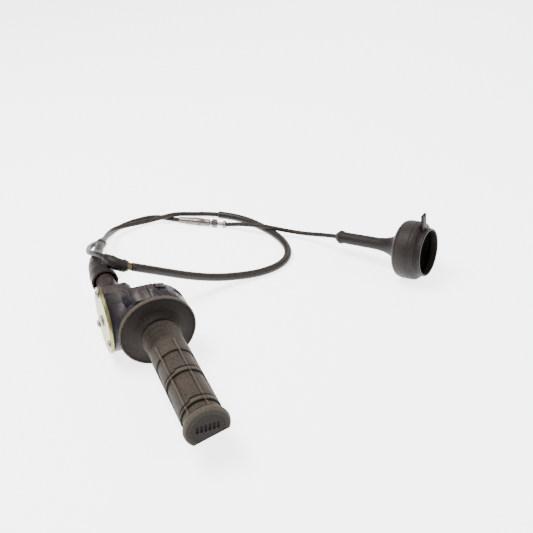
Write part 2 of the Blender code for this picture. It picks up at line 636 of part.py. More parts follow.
def build_cover(housing, zinc, steel, paper):
    frame = Matrix.Translation((0.0, DRUM_Y, 0.0)) @ ALONG_X
    gasket = add_object("cover_gasket", turned(GASKET_OUTLINE, 40), paper, housing, frame)
    cover = add_object("cover_plate", turned(COVER_OUTLINE, 48), zinc, housing, frame)
    pin_hole = rod(PIN_R + PIN_CLEARANCE, *COVER_DRILL, 20)
    combine(cover, add_object("pin_hole_cutter", pin_hole, zinc, housing, frame), "DIFFERENCE")
    for number, place in enumerate(cover_screw_frames(), 1):
        for target in (gasket, cover):
            hole = rod(COVER_SCREW_HOLE_R, *COVER_DRILL, 14)
            cutter = add_object(f"{target.name}_screw_hole_{number}", hole, zinc, housing, place)
            combine(target, cutter, "DIFFERENCE")
        screw = add_object(f"cover_screw_{number}", turned(COVER_SCREW_OUTLINE, 14), steel, housing, place)
        half = COVER_SCREW_SLOT / 2
        slot = block((-4.0, -half, COVER_DRILL[0]), (4.0, half, -40.2))
        combine(screw, add_object(f"cover_slot_{number}", slot, steel, housing, place), "DIFFERENCE")
    add_object("drum_axle", turned(PIN_OUTLINE, 20), steel, housing, frame)


def build_drum(drum, plastic, brass, steel):
    """The drum's pieces are placed from the drum's own empty, on its axis."""
    body = add_object("cable_drum", turned(DRUM_OUTLINE, 36), plastic, drum, ALONG_X)
    # Seen along +X from the drum's centre, the tube's gear lies at -Y; that is -Y of the turned frame too.
    towards_tube = -math.pi / 2
    first_tooth = towards_tube + math.pi / DRUM_TEETH
    gear = bevel_gear(DRUM_TEETH, DRUM_GEAR_R, TUBE_GEAR_R, DRUM_BORE_R, first_tooth)
    combine(body, add_object("drum_gear_blank", gear, plastic, drum, ALONG_X), "UNION")
    nipple_y = -WIRE_ON_DRUM_R * math.sin(NIPPLE_TURN)
    nipple_z = WIRE_ON_DRUM_R * math.cos(NIPPLE_TURN)
    frame = Matrix.Translation((0.0, nipple_y, nipple_z)) @ ALONG_X
    pocket = rod(NIPPLE_R + NIPPLE_CLEARANCE, -36.0, -24.2, 16)
    combine(body, add_object("nipple_pocket", pocket, plastic, drum, frame), "DIFFERENCE")
    add_object("drum_nipple", rod(NIPPLE_R, -30.4, -24.6, 16), brass, drum, frame)
    arc = []
    for degrees in WIRE_TURNS:
        turn = math.radians(degrees)
        arc.append((PULLEY_X, -WIRE_ON_DRUM_R * math.sin(turn), WIRE_ON_DRUM_R * math.cos(turn)))
    cable_object("drum_wire", arc, WIRE_R, steel, drum)
    add_object("drum_washer", turned(DRUM_WASHER_OUTLINE, 24), steel, drum, ALONG_X)


def build_neck(housing, brass, steel):
    frame = Matrix.Translation((NECK_X, 0.0, NECK_Z)) @ ALONG_Y
    add_object("neck_adjuster", turned(ADJUSTER_OUTLINE, 20), brass, housing, frame)
    lock_nut = hexagon(LOCK_NUT_FLATS, *LOCK_NUT_ENDS, LOCK_NUT_BORE_R)
    add_object("neck_lock_nut", lock_nut, brass, housing, frame)
    ends = (DRUM_Y + 0.6, CABLE_IN_ADJUSTER - 1.4)
    wire = [(NECK_X, y, NECK_Z) for y in (ends[0], sum(ends) / 2, ends[1])]
    cable_object("wire_in_neck", wire, WIRE_R, steel, housing)


def build_main_boot(datum, rubber):
    centres = smooth_points(MAIN_BOOT_ROUTE, BOOT_SPACING)
    outer = radii_along(len(centres), MAIN_BOOT_OUTER)
    inner = radii_along(len(centres), MAIN_BOOT_INNER)
    add_object("main_boot", swept(centres, outer, inner, BOOT_SIDES), rubber, datum)


def build_cables(datum, black, rubber):
    front = smooth_points(FRONT_ROUTE, CABLE_SPACING)
    front[0] = Vector((NECK_X, CABLE_IN_ADJUSTER, NECK_Z + BAR_HEIGHT / MM))
    cable_object("cable_front", front, CABLE_R, black, datum)
    # The sleeve takes the cable's own points from the far side of the loop to the in-line fitting.
    start = Vector(SLEEVE_START)
    first = min(range(len(front)), key=lambda place: (front[place] - start).length)
    sleeve = front[first:-1]
    count = len(sleeve)
    sleeve_mesh = swept(sleeve, [SLEEVE_R] * count, [SLEEVE_BORE_R] * count, SLEEVE_SIDES)
    add_object("protective_sleeve", sleeve_mesh, rubber, datum)
    middle = smooth_points(MIDDLE_ROUTE, SHORT_CABLE_SPACING)
    cable_object("cable_middle", middle, CABLE_R, black, datum)
    rear = smooth_points(REAR_ROUTE, SHORT_CABLE_SPACING)
    for depth in CABLE_IN_CAP:
        rear.append(cap_frame() @ Vector((0.0, 0.0, depth)))
    cable_object("cable_rear", rear, REAR_CABLE_R, black, datum)


def frame_along(start, toward):
    """A frame at start whose Z axis points at another point."""
    along = (Vector(toward) - Vector(start)).normalized()
    across = along.cross(Vector((0.0, 0.0, 1.0))).normalized()
    up = across.cross(along)
    rotation = Matrix((across, up, along)).transposed()
    if rotation.determinant() < 0:
        rotation = Matrix((-across, up, along)).transposed()
    return Matrix.Translation(start) @ rotation.to_4x4()


def build_inline(datum, brass, rubber):
    fitting_frame = frame_along(FRONT_ROUTE[-1], MIDDLE_ROUTE[0])
    add_object("inline_fitting", turned(INLINE_FITTING_OUTLINE, 18), brass, datum, fitting_frame)
    centres = smooth_points(INLINE_BOOT_ROUTE, INLINE_BOOT_SPACING)
    outer = radii_along(len(centres), INLINE_BOOT_OUTER)
    inner = radii_along(len(centres), INLINE_BOOT_INNER)
    add_object("inline_boot", swept(centres, outer, inner, INLINE_BOOT_SIDES), rubber, datum)


def build_barrel(datum, nut_body, silver, steel):
    frame = frame_along(BARREL_START, BARREL_TOWARD)
    add_object("barrel_body", turned(BARREL_OUTLINE, 20), silver, datum, frame)
    add_object("barrel_screw", turned(BARREL_SCREW_OUTLINE, 18), steel, datum, frame)
    nut = hexagon(BARREL_NUT_FLATS, *BARREL_NUT_ENDS, BARREL_NUT_BORE_R)
    add_object("barrel_nut", nut, silver, nut_body, frame.to_3x3().to_4x4())


def cap_frame():
    """Z runs from the mouth of the carburettor boot back along its axis to the cable."""
    along = Vector(
        (
            math.cos(CAP_HEADING) * math.cos(CAP_RISE),
            math.sin(CAP_HEADING) * math.cos(CAP_RISE),
            math.sin(CAP_RISE),
        )
    )
    return frame_along(CAP_MOUTH, Vector(CAP_MOUTH) - along)


def build_cap(datum, wire_body, rubber, brass, steel):
    frame = cap_frame()
    cap = add_object("carburettor_boot", turned(CAP_OUTLINE, 32), rubber, datum, frame)
    # A pull tab stands up from the groove behind the mouth.
    tab = block(*PULL_TAB)
    bmesh.ops.bevel(tab, geom=tab.edges[:], offset=0.6, segments=1, affect="EDGES")
    combine(cap, add_object("pull_tab_blank", tab, rubber, datum, frame), "UNION")
    add_object("cable_end_fitting", turned(CAP_FITTING_OUTLINE, 16), brass, datum, frame)
    placed = frame.to_3x3().to_4x4()
    add_object("wire_end", turned(WIRE_END_OUTLINE, 12), steel, wire_body, placed)
    add_object("wire_end_nipple", turned(WIRE_NIPPLE_OUTLINE, 14), brass, wire_body, placed)


def main():
    clear_scene()
    rubber = make_material("grip_rubber", (0.085, 0.072, 0.06), 0.75)
    boot_rubber = make_material("boot_rubber", (0.05, 0.046, 0.045), 0.6)
    black = make_material("black_housing", (0.03, 0.028, 0.035), 0.35)
    nylon = make_material("nylon", (0.05, 0.05, 0.05), 0.5)
    zinc = make_material("yellow_zinc", (0.42, 0.38, 0.2), 0.35, 1.0)
    steel = make_material("steel", (0.5, 0.5, 0.5), 0.35, 1.0)
    silver = make_material("silver_alloy", (0.6, 0.57, 0.56), 0.4, 1.0)
    brass = make_material("dull_brass", (0.35, 0.27, 0.16), 0.45, 1.0)
    paper = make_material("gasket_paper", (0.35, 0.3, 0.22), 0.9)
    casing = make_material("cable_casing", (0.06, 0.056, 0.055), 0.5)

    datum = make_empty("datum", (DATUM_X / MM, DATUM_Y / MM, 0.0))
    housing = make_empty("bar_axis", (0.0, 0.0, BAR_HEIGHT / MM), datum)
    twist = make_empty("twist_axis", (0.0, 0.0, BAR_HEIGHT / MM), datum)
    drum = make_empty("drum_axis", (0.0, DRUM_Y, BAR_HEIGHT / MM), datum)
    nut = make_empty("barrel_nut_axis", BARREL_START, datum)
    wire = make_empty("wire_end_axis", CAP_MOUTH, datum)

    build_grip(twist, rubber)
    build_tube(twist, nylon)
    add_object("thrust_washer", turned(WASHER_OUTLINE, 32), steel, housing, ALONG_Y)
    build_housing(housing, black)
    build_clamp(housing, black, steel)
    build_cover(housing, zinc, steel, paper)
    build_drum(drum, nylon, brass, steel)
    build_neck(housing, brass, steel)
    build_main_boot(datum, boot_rubber)
    build_cables(datum, casing, boot_rubber)
    build_inline(datum, brass, boot_rubber)
    build_barrel(datum, nut, silver, steel)
    build_cap(datum, wire, boot_rubber, brass, steel)


main()
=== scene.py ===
"""Twist-grip throttle of an off-road motorcycle with its cable, in a plain pale studio.

Places are in millimetres from the datum, which is the point of the handlebar's axis in the plane
of the grip flange's rim, with z measured up from the floor. They become metres when a mesh is
made. +Y runs along the handlebar from the grip's end to the clamp housing, and +Z is up.
"""

import logging
import math
from dataclasses import dataclass
from enum import Enum

import bmesh
import bpy
from mathutils import Matrix, Vector, noise


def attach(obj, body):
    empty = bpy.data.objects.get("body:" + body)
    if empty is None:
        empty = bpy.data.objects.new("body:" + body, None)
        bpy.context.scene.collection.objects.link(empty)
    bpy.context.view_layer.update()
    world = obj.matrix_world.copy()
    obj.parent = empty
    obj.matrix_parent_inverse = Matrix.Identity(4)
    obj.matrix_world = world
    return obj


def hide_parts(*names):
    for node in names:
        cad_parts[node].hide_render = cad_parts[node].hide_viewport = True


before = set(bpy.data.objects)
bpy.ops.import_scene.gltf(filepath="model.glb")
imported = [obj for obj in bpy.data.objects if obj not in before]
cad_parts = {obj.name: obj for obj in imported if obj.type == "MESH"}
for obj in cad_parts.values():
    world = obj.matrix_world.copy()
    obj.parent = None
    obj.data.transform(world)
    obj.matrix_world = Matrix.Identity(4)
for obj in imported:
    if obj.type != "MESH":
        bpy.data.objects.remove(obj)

MM = 0.001
DATUM = Matrix.Translation((4.15, 13.5, 0.0))
BAR_HEIGHT = 32.7
# Pale edges: partly wear, partly painted highlight where edges and rims catch the light.
WEAR_AND_HIGHLIGHT = "wear_and_highlight"
# Painted shade: how dark a place is painted in grooves, at steps, beside ribs, in recesses and on the
# flange's face.
PAINTED_SHADE = "painted_shade"
ON_AXIS = 1e-6
NEARLY_STRAIGHT = -0.94
LONGEST_ROUNDING = 0.45
Outline = tuple[tuple[float, float], ...]
Colour = tuple[float, float, float]

logging.basicConfig(level=logging.INFO, format="%(name)s: %(message)s")
LOG = logging.getLogger("throttle")


class Body(Enum):
    """The bodies that the drawn pieces ride on."""

    HOUSING = "housing"
    GRIP = "twist_grip"


# ---- Finishes ------------------------------------------------------------------------------


@dataclass(frozen=True)
class RubberFinish:
    """Worn rubber that holds fine dust.

    Args:
        name: the material's name.
        clean: the rubber's own colour.
        dust: the colour of the dust, and of pale edges, which are partly wear and partly painted highlight.
        dust_share: how much of the dust shows on faces that look up.
        smudge_scale: size of the handling smudges, per metre.
        roughness: roughness of rubbed and of dusty rubber.
        grain: height of the fine grain, in metres.
        gloss: strength of its reflections.
        groove_shade: the colour of the painted shade down in grooves.
    """

    name: str
    clean: Colour
    dust: Colour
    dust_share: float
    smudge_scale: float
    roughness: tuple[float, float]
    grain: float
    gloss: float = 0.1
    groove_shade: Colour = (0.002, 0.0016, 0.0014)


@dataclass(frozen=True)
class CoatedFinish:
    """Glossy black moulding or casting, dusty where it looks up.

    Args:
        name: the material's name.
        base: the coating's colour.
        dust: the colour of the dust.
        dust_share: how much of the dust shows on faces that look up.
        roughness: roughness of the bare gloss.
        edge_radius: how far edges are rounded, in metres.
    """

    name: str
    base: Colour
    dust: Colour
    dust_share: float
    roughness: float
    edge_radius: float


@dataclass(frozen=True)
class MetalFinish:
    """Plated or bare metal with tarnish and spots of rust.

    Args:
        name: the material's name.
        bright: the colour of the clean metal.
        tarnish: the colour of the dull patches.
        rust: the colour of the spots.
        rust_from: the noise level above which rust shows; 1 shows none.
        roughness: roughness of clean and of tarnished metal.
        edge_radius: how far edges are rounded, in metres.
    """

    name: str
    bright: Colour
    tarnish: Colour
    rust: Colour
    rust_from: float
    roughness: tuple[float, float]
    edge_radius: float


class Graph:
    """A material's nodes, each labelled and kept in the frame that was opened last.

    Args:
        name: the material's name.
    """

    def __init__(self, name: str) -> None:
        """Starts an empty material."""
        self.made = bpy.data.materials.new(name)
        self.made.use_nodes = True
        self.nodes = self.made.node_tree.nodes
        self.nodes.clear()
        self.holder = None

    def frame(self, label: str) -> None:
        """Opens a labelled frame."""
        self.holder = self.nodes.new("NodeFrame")
        self.holder.label = label

    def add(
        self, kind: str, label: str, place: tuple[int, int], inputs: dict | None = None, **settings: str | int
    ) -> bpy.types.ShaderNode:
        """Adds a node to the open frame.

        Args:
            kind: its type, without the leading ShaderNode.
            label: what it is for.
            place: where it lies in the editor.
            inputs: values of its inputs, by name.
            settings: its other properties.

        Returns:
            The node.
        """
        node = self.nodes.new(f"ShaderNode{kind}")
        node.label = label
        node.location = place
        node.parent = self.holder
        for setting, value in settings.items():
            setattr(node, setting, value)
        for socket, value in (inputs or {}).items():
            node.inputs[socket].default_value = value
        return node

    def link(self, source: bpy.types.Node, output: str, target: bpy.types.Node, socket: str | int) -> None:
        """Joins an output to an input."""
        self.made.node_tree.links.new(source.outputs[output], target.inputs[socket])

    def close(self, surface: bpy.types.ShaderNode, place: tuple[int, int]) -> bpy.types.Material:
        """Sends the surface to the output, which lies at the place, and gives the material."""
        self.link(surface, "BSDF", self.add("OutputMaterial", "Surface", place), "Surface")
        return self.made


def rubber_material(finish: RubberFinish) -> bpy.types.Material:
    """Worn, dusty rubber."""
    graph = Graph(finish.name)

    graph.frame("Smudges in the rubber")
    place = graph.add("TexCoord", "Place on the piece", (-1500, 0))
    smudges = graph.add(
        "TexNoise",
        "Handling smudges",
        (-1250, 200),
        {"Scale": finish.smudge_scale, "Detail": 6.0, "Roughness": 0.62},
    )
    mottle = graph.add("ValToRGB", "Darker and paler rubber", (-1000, 200))
    speckle = graph.add("TexNoise", "Fine speckle of dirt", (-1250, -60), {"Scale": 900.0, "Detail": 4.0})
    tint = graph.add(
        "Mix",
        "Rubber with smudges",
        (-700, 200),
        {"Factor": 0.85, "A": (*finish.clean, 1.0)},
        data_type="RGBA",
        blend_type="MULTIPLY",
    )

    # Pale edges are partly wear and partly painted highlight; the dark in grooves and recesses is painted
    # shade.
    graph.frame("Pale edges and painted shade in grooves")
    wear_and_highlight = graph.add("Attribute", "How far an edge is rubbed", (-1000, -300), attribute_name=WEAR_AND_HIGHLIGHT)
    painted_shade = graph.add("Attribute", "How much painted shade", (-1000, -500), attribute_name=PAINTED_SHADE)
    lightened = graph.add("Mix", "Pale rubbed edges", (-450, 100), {"B": (*finish.dust, 1.0)}, data_type="RGBA")
    shaded_grooves = graph.add("Mix", "Painted shade in the grooves", (-200, 100), {"B": (*finish.groove_shade, 1.0)}, data_type="RGBA")
    broken = graph.add("Math", "Edges rubbed unevenly", (-700, -300), operation="MULTIPLY")

    graph.frame("Dust on faces that look up")
    facing = graph.add("SeparateXYZ", "Which way the face looks", (-1250, -700))
    upward = graph.add(
        "MapRange",
        "Only faces that look up",
        (-1000, -700),
        {"From Min": -0.5, "From Max": 1.0, "To Max": finish.dust_share},
    )
    fleck = graph.add(
        "MapRange", "Dust gathers in flecks", (-1000, -900), {"From Min": 0.3, "From Max": 0.75}
    )
    patchy = graph.add("Math", "Dust in patches", (-700, -700), operation="MULTIPLY")
    dusty = graph.add("Mix", "Rubber under dust", (50, 100), {"B": (*finish.dust, 1.0)}, data_type="RGBA")

    graph.frame("Shine and grain")
    sheen = graph.add(
        "MapRange",
        "Rubbed parts shine more",
        (50, -300),
        {"To Min": finish.roughness[0], "To Max": finish.roughness[1]},
    )
    grain = graph.add("TexNoise", "Grain of the rubber", (-200, -500), {"Scale": 2200.0, "Detail": 3.0})
    relief = graph.add("Bump", "Grain in relief", (50, -550), {"Strength": 0.5, "Distance": finish.grain})
    surface = graph.add("BsdfPrincipled", "Rubber", (350, 100), {"Specular IOR Level": finish.gloss})

    mottle.color_ramp.elements[0].position = 0.34
    mottle.color_ramp.elements[0].color = (0.5, 0.49, 0.48, 1.0)
    mottle.color_ramp.elements[1].position = 0.7
    mottle.color_ramp.elements[1].color = (1.25, 1.22, 1.2, 1.0)

    for target in (smudges, speckle, grain):
        graph.link(place, "Object", target, "Vector")
    graph.link(place, "Normal", facing, "Vector")
    graph.link(smudges, "Fac", mottle, "Fac")
    graph.link(mottle, "Color", tint, "B")
    graph.link(wear_and_highlight, "Fac", broken, 0)
    graph.link(speckle, "Fac", broken, 1)
    graph.link(tint, "Result", lightened, "A")
    graph.link(broken, "Value", lightened, "Factor")
    graph.link(dusty, "Result", shaded_grooves, "A")
    graph.link(painted_shade, "Fac", shaded_grooves, "Factor")
    graph.link(facing, "Z", upward, "Value")
    graph.link(upward, "Result", patchy, 0)
    graph.link(speckle, "Fac", fleck, "Value")
    graph.link(fleck, "Result", patchy, 1)
    graph.link(lightened, "Result", dusty, "A")
    graph.link(patchy, "Value", dusty, "Factor")
    graph.link(shaded_grooves, "Result", surface, "Base Color")
    graph.link(smudges, "Fac", sheen, "Value")
    graph.link(sheen, "Result", surface, "Roughness")
    graph.link(grain, "Fac", relief, "Height")
    graph.link(relief, "Normal", surface, "Normal")
    return graph.close(surface, (650, 100))


def coated_material(finish: CoatedFinish) -> bpy.types.Material:
    """Glossy black plastic or paint under a film of dust."""
    graph = Graph(finish.name)

    graph.frame("Film of dust")
    place = graph.add("TexCoord", "Place on the casting", (-1400, 0))
    clouds = graph.add(
        "TexNoise", "Clouds of dust", (-1150, 150), {"Scale": 85.0, "Detail": 7.0, "Roughness": 0.65}
    )
    grit = graph.add("TexNoise", "Single grains", (-1150, -100), {"Scale": 1400.0, "Detail": 2.0})
    facing = graph.add("SeparateXYZ", "Which way the face looks", (-1150, -350))
    upward = graph.add(
        "MapRange",
        "Only faces that look up",
        (-900, -350),
        {"From Min": 0.3, "From Max": 1.0, "To Min": 0.03, "To Max": finish.dust_share},
    )
    patch_edge = graph.add(
        "MapRange", "Edges of the dusty patches", (-900, 150), {"From Min": 0.26, "From Max": 0.6}
    )
    banked = graph.add("Math", "Dust lies in clouds", (-650, -150), operation="MULTIPLY")
    grainy = graph.add("Math", "Dust with its grains", (-400, -150), operation="MULTIPLY")
    colour = graph.add(
        "Mix",
        "Black under dust",
        (-150, 150),
        {"A": (*finish.base, 1.0), "B": (*finish.dust, 1.0)},
        data_type="RGBA",
    )

    graph.frame("Gloss, scuffs and rounded edges")
    scuffs = graph.add(
        "TexNoise", "Scuffs drawn out along the part", (-650, -450), {"Scale": 520.0, "Detail": 5.0}
    )
    stretch = graph.add("Mapping", "Draws the scuffs out", (-900, -600), {"Scale": (1.0, 0.15, 1.0)})
    matt = graph.add(
        "MapRange", "Dust takes the gloss away", (-150, -150), {"To Min": finish.roughness, "To Max": 0.85}
    )
    rounding = graph.add("Bevel", "Rounds the edges", (-400, -700), {"Radius": finish.edge_radius}, samples=6)
    relief = graph.add("Bump", "Scuffs in relief", (-150, -500), {"Strength": 0.22, "Distance": 0.0002})
    surface = graph.add("BsdfPrincipled", "Black coating", (150, 100), {"Specular IOR Level": 0.3})

    for target in (clouds, grit, stretch):
        graph.link(place, "Object", target, "Vector")
    graph.link(place, "Normal", facing, "Vector")
    graph.link(facing, "Z", upward, "Value")
    graph.link(upward, "Result", banked, 0)
    graph.link(clouds, "Fac", patch_edge, "Value")
    graph.link(patch_edge, "Result", banked, 1)
    graph.link(banked, "Value", grainy, 0)
    graph.link(grit, "Fac", grainy, 1)
    graph.link(grainy, "Value", colour, "Factor")
    graph.link(grainy, "Value", matt, "Value")
    graph.link(colour, "Result", surface, "Base Color")
    graph.link(matt, "Result", surface, "Roughness")
    graph.link(stretch, "Vector", scuffs, "Vector")
    graph.link(scuffs, "Fac", relief, "Height")
    graph.link(rounding, "Normal", relief, "Normal")
    graph.link(relief, "Normal", surface, "Normal")
    return graph.close(surface, (450, 100))


def metal_material(finish: MetalFinish) -> bpy.types.Material:
    """Metal with tarnish, rust spots and fine turning marks."""
    graph = Graph(finish.name)

    graph.frame("Tarnish and rust")
    place = graph.add("TexCoord", "Place on the metal", (-1300, 0))
    patches = graph.add(
        "TexNoise", "Patches of tarnish", (-1050, 200), {"Scale": 190.0, "Detail": 6.0, "Roughness": 0.7}
    )
    dull = graph.add("MapRange", "Where the metal is dull", (-800, 200), {"From Min": 0.3, "From Max": 0.85})
    plated = graph.add(
        "Mix",
        "Clean and tarnished metal",
        (-500, 200),
        {"A": (*finish.bright, 1.0), "B": (*finish.tarnish, 1.0)},
        data_type="RGBA",
    )
    spots = graph.add("TexNoise", "Spots of rust", (-1050, -80), {"Scale": 260.0, "Detail": 5.0})
    rusty = graph.add(
        "MapRange",
        "Only the strongest spots",
        (-800, -80),
        {"From Min": finish.rust_from, "From Max": finish.rust_from + 0.06},
    )
    colour = graph.add("Mix", "Metal with rust", (-250, 200), {"B": (*finish.rust, 1.0)}, data_type="RGBA")
    bare = graph.add("MapRange", "Rust isn't metallic", (-250, -80), {"To Min": 1.0, "To Max": 0.1})

    graph.frame("Turning marks and edges")
    scratches = graph.add("TexNoise", "Fine scratches", (-800, -400), {"Scale": 1500.0, "Detail": 2.0})
    shine = graph.add(
        "MapRange",
        "Tarnish is less shiny",
        (-250, -300),
        {"To Min": finish.roughness[0], "To Max": finish.roughness[1]},
    )
    rounding = graph.add("Bevel", "Rounds the edges", (-500, -600), {"Radius": finish.edge_radius}, samples=6)
    relief = graph.add("Bump", "Scratches in relief", (-250, -500), {"Strength": 0.18, "Distance": 0.0001})
    surface = graph.add("BsdfPrincipled", "Metal", (50, 100))

    for target in (patches, spots, scratches):
        graph.link(place, "Object", target, "Vector")
    graph.link(patches, "Fac", dull, "Value")
    graph.link(dull, "Result", plated, "Factor")
    graph.link(spots, "Fac", rusty, "Value")
    graph.link(plated, "Result", colour, "A")
    graph.link(rusty, "Result", colour, "Factor")
    graph.link(rusty, "Result", bare, "Value")
    graph.link(colour, "Result", surface, "Base Color")
    graph.link(bare, "Result", surface, "Metallic")
    graph.link(dull, "Result", shine, "Value")
    graph.link(shine, "Result", surface, "Roughness")
    graph.link(scratches, "Fac", relief, "Height")
    graph.link(rounding, "Normal", relief, "Normal")
    graph.link(relief, "Normal", surface, "Normal")
    return graph.close(surface, (350, 100))


def wire_material() -> bpy.types.Material:
    """Stranded steel wire, its strands wound round it."""
    graph = Graph('stranded_wire')

    graph.frame("Strands")
    place = graph.add("TexCoord", "Place on the wire", (-900, 0))
    winding = graph.add(
        "TexWave",
        "Strands across the wire",
        (-650, 0),
        {"Scale": 420.0, "Distortion": 0.4},
        bands_direction="DIAGONAL",
    )
    shade = graph.add("ValToRGB", "Painted shade between the strands", (-400, 100))
    relief = graph.add("Bump", "Strands in relief", (-400, -200), {"Strength": 0.5, "Distance": 0.0001})

    graph.frame("Steel")
    surface = graph.add("BsdfPrincipled", "Steel wire", (-100, 0), {"Metallic": 1.0, "Roughness": 0.42})

    # Painted shade between the strands: the ramp darkens the steel where the wave dips.
    shade.color_ramp.elements[0].color = (0.12, 0.11, 0.1, 1.0)
    shade.color_ramp.elements[1].color = (0.5, 0.49, 0.47, 1.0)

    graph.link(place, "Object", winding, "Vector")
    graph.link(winding, "Fac", shade, "Fac")
    graph.link(winding, "Fac", relief, "Height")
    graph.link(shade, "Color", surface, "Base Color")
    graph.link(relief, "Normal", surface, "Normal")
    return graph.close(surface, (200, 0))


def floor_material() -> bpy.types.Material:
    """A pale, seamless studio floor."""
    graph = Graph('studio_floor')

    graph.frame("Paper sweep")
    place = graph.add("TexCoord", "Place on the floor", (-700, 0))
    fibres = graph.add("TexNoise", "Faint paper fibres", (-450, 0), {"Scale": 30.0})
    shade = graph.add("ValToRGB", "Nearly even white", (-200, 0))
    surface = graph.add(
        "BsdfPrincipled",
        "Paper",
        (100, 0),
        {
            "Roughness": 0.95,
            "Specular IOR Level": 0.0,
            "Emission Color": (1.0, 1.0, 1.0, 1.0),
            "Emission Strength": 3.2,
        },
    )

    shade.color_ramp.elements[0].color = (0.955, 0.955, 0.955, 1.0)
    shade.color_ramp.elements[1].color = (0.975, 0.975, 0.975, 1.0)

    graph.link(place, "Object", fibres, "Vector")
    graph.link(fibres, "Fac", shade, "Fac")
    graph.link(shade, "Color", surface, "Base Color")
    return graph.close(surface, (400, 0))


class FinishShelf:
    """Every finish, made once and shared by the pieces."""

    def __init__(self) -> None:
        """Mixes the finishes."""
        grey_dust = (0.095, 0.077, 0.06)
        self.grip = rubber_material(
            RubberFinish(
                "grip_rubber", clean=(0.026, 0.02, 0.016), dust=grey_dust, dust_share=0.6,
                smudge_scale=90.0, roughness=(0.5, 0.75), grain=0.0003,
            )
        )
        self.boot = rubber_material(
            RubberFinish(
                "boot_rubber", clean=(0.009, 0.0075, 0.008), dust=(0.075, 0.058, 0.046), dust_share=0.3,
                smudge_scale=60.0, roughness=(0.4, 0.6), grain=0.0001, gloss=0.14,
            )
        )
        self.jacket = rubber_material(
            RubberFinish(
                "cable_jacket", clean=(0.009, 0.007, 0.007), dust=(0.1, 0.075, 0.055), dust_share=0.4,
                smudge_scale=45.0, roughness=(0.38, 0.55), grain=0.00005, gloss=0.14,
            )
        )
        self.sleeve = rubber_material(
            RubberFinish(
                "cable_sleeve", clean=(0.006, 0.005, 0.006), dust=(0.09, 0.07, 0.052), dust_share=0.3,
                smudge_scale=40.0, roughness=(0.34, 0.5), grain=0.00005, gloss=0.17,
            )
        )
        self.casting = coated_material(
            CoatedFinish(
                "black_casting", base=(0.003, 0.003, 0.009), dust=(0.1, 0.07, 0.05), dust_share=0.8,
                roughness=0.36, edge_radius=0.0006,
            )
        )
        self.nylon = coated_material(
            CoatedFinish(
                "nylon", base=(0.05, 0.05, 0.05), dust=(0.2, 0.18, 0.15), dust_share=0.3, roughness=0.45,
                edge_radius=0.0002,
            )
        )
        self.zinc = metal_material(
            MetalFinish(
                "yellow_zinc", bright=(0.27, 0.25, 0.1), tarnish=(0.13, 0.125, 0.05),
                rust=(0.16, 0.06, 0.02), rust_from=0.72, roughness=(0.28, 0.5), edge_radius=0.0003,
            )
        )
        self.steel = metal_material(
            MetalFinish(
                "dull_steel", bright=(0.32, 0.3, 0.28), tarnish=(0.15, 0.13, 0.11),
                rust=(0.15, 0.05, 0.015), rust_from=0.62, roughness=(0.35, 0.6), edge_radius=0.0002,
            )
        )
        self.silver = metal_material(
            MetalFinish(
                "silver_alloy", bright=(0.2, 0.178, 0.172), tarnish=(0.08, 0.074, 0.056),
                rust=(0.07, 0.03, 0.014), rust_from=0.56, roughness=(0.3, 0.55), edge_radius=0.0002,
            )
        )
        self.brass = metal_material(
            MetalFinish(
                "dull_brass", bright=(0.14, 0.105, 0.06), tarnish=(0.06, 0.046, 0.028),
                rust=(0.1, 0.06, 0.03), rust_from=0.66, roughness=(0.35, 0.6), edge_radius=0.0002,
            )
        )
        self.gasket = rubber_material(
            RubberFinish(
                "gasket_fibre", clean=(0.2, 0.16, 0.1), dust=(0.3, 0.25, 0.18), dust_share=0.3,
                smudge_scale=120.0, roughness=(0.7, 0.9), grain=0.0001,
            )
        )
        self.wire = wire_material()


# ---- Shapes --------------------------------------------------------------------------------


def turned(outline: Outline, segments: int) -> bmesh.types.BMesh:
    """Turns a closed outline about Z.

    Args:
        outline: (radius, height) points in millimetres.
        segments: how many steps make the full turn.

    Returns:
        The mesh, in millimetres; a point on the axis becomes one vertex.
    """
    mesh = bmesh.new()
    rings = []
    for radius, height in outline:
        if radius < ON_AXIS:
            rings.append([mesh.verts.new((0.0, 0.0, height))])
            continue
        ring = []
        for step in range(segments):
            turn = 2 * math.pi * step / segments
            ring.append(mesh.verts.new((radius * math.cos(turn), radius * math.sin(turn), height)))
        rings.append(ring)
    for first, second in zip(rings, rings[1:] + rings[:1]):
        for step in range(segments):
            after = (step + 1) % segments
            corners = [
                first[step % len(first)],
                first[after % len(first)],
                second[after % len(second)],
                second[step % len(second)],
            ]
            corners = list(dict.fromkeys(corners))
            if len(corners) > 2:
                mesh.faces.new(corners)
    return mesh


def rounded(outline: Outline, radius: float, steps: int = 3) -> Outline:
    """Rounds the corners of an outline.

    Args:
        outline: (radius, height) points in millimetres.
        radius: the rounding's radius, less where a side is short.
        steps: how many points replace one corner, less one.

    Returns:
        The rounded outline. Points on the axis stay.
    """
    points = [Vector(point) for point in outline]
    made = []
    for place, corner in enumerate(points):
        before = points[place - 1] - corner
        after = points[(place + 1) % len(points)] - corner
        if corner.x < ON_AXIS or before.length < ON_AXIS or after.length < ON_AXIS:
            made.append((corner.x, corner.y))
            continue
        straight = before.normalized().dot(after.normalized()) < NEARLY_STRAIGHT
        if straight:
            made.append((corner.x, corner.y))
            continue
        reach = min(radius, before.length * LONGEST_ROUNDING, after.length * LONGEST_ROUNDING)
        start = corner + before.normalized() * reach
        end = corner + after.normalized() * reach
        for step in range(steps + 1):
            share = step / steps
            point = start.lerp(corner, share).lerp(corner.lerp(end, share), share)
            made.append((max(point.x, 0.0), point.y))
    return tuple(made)


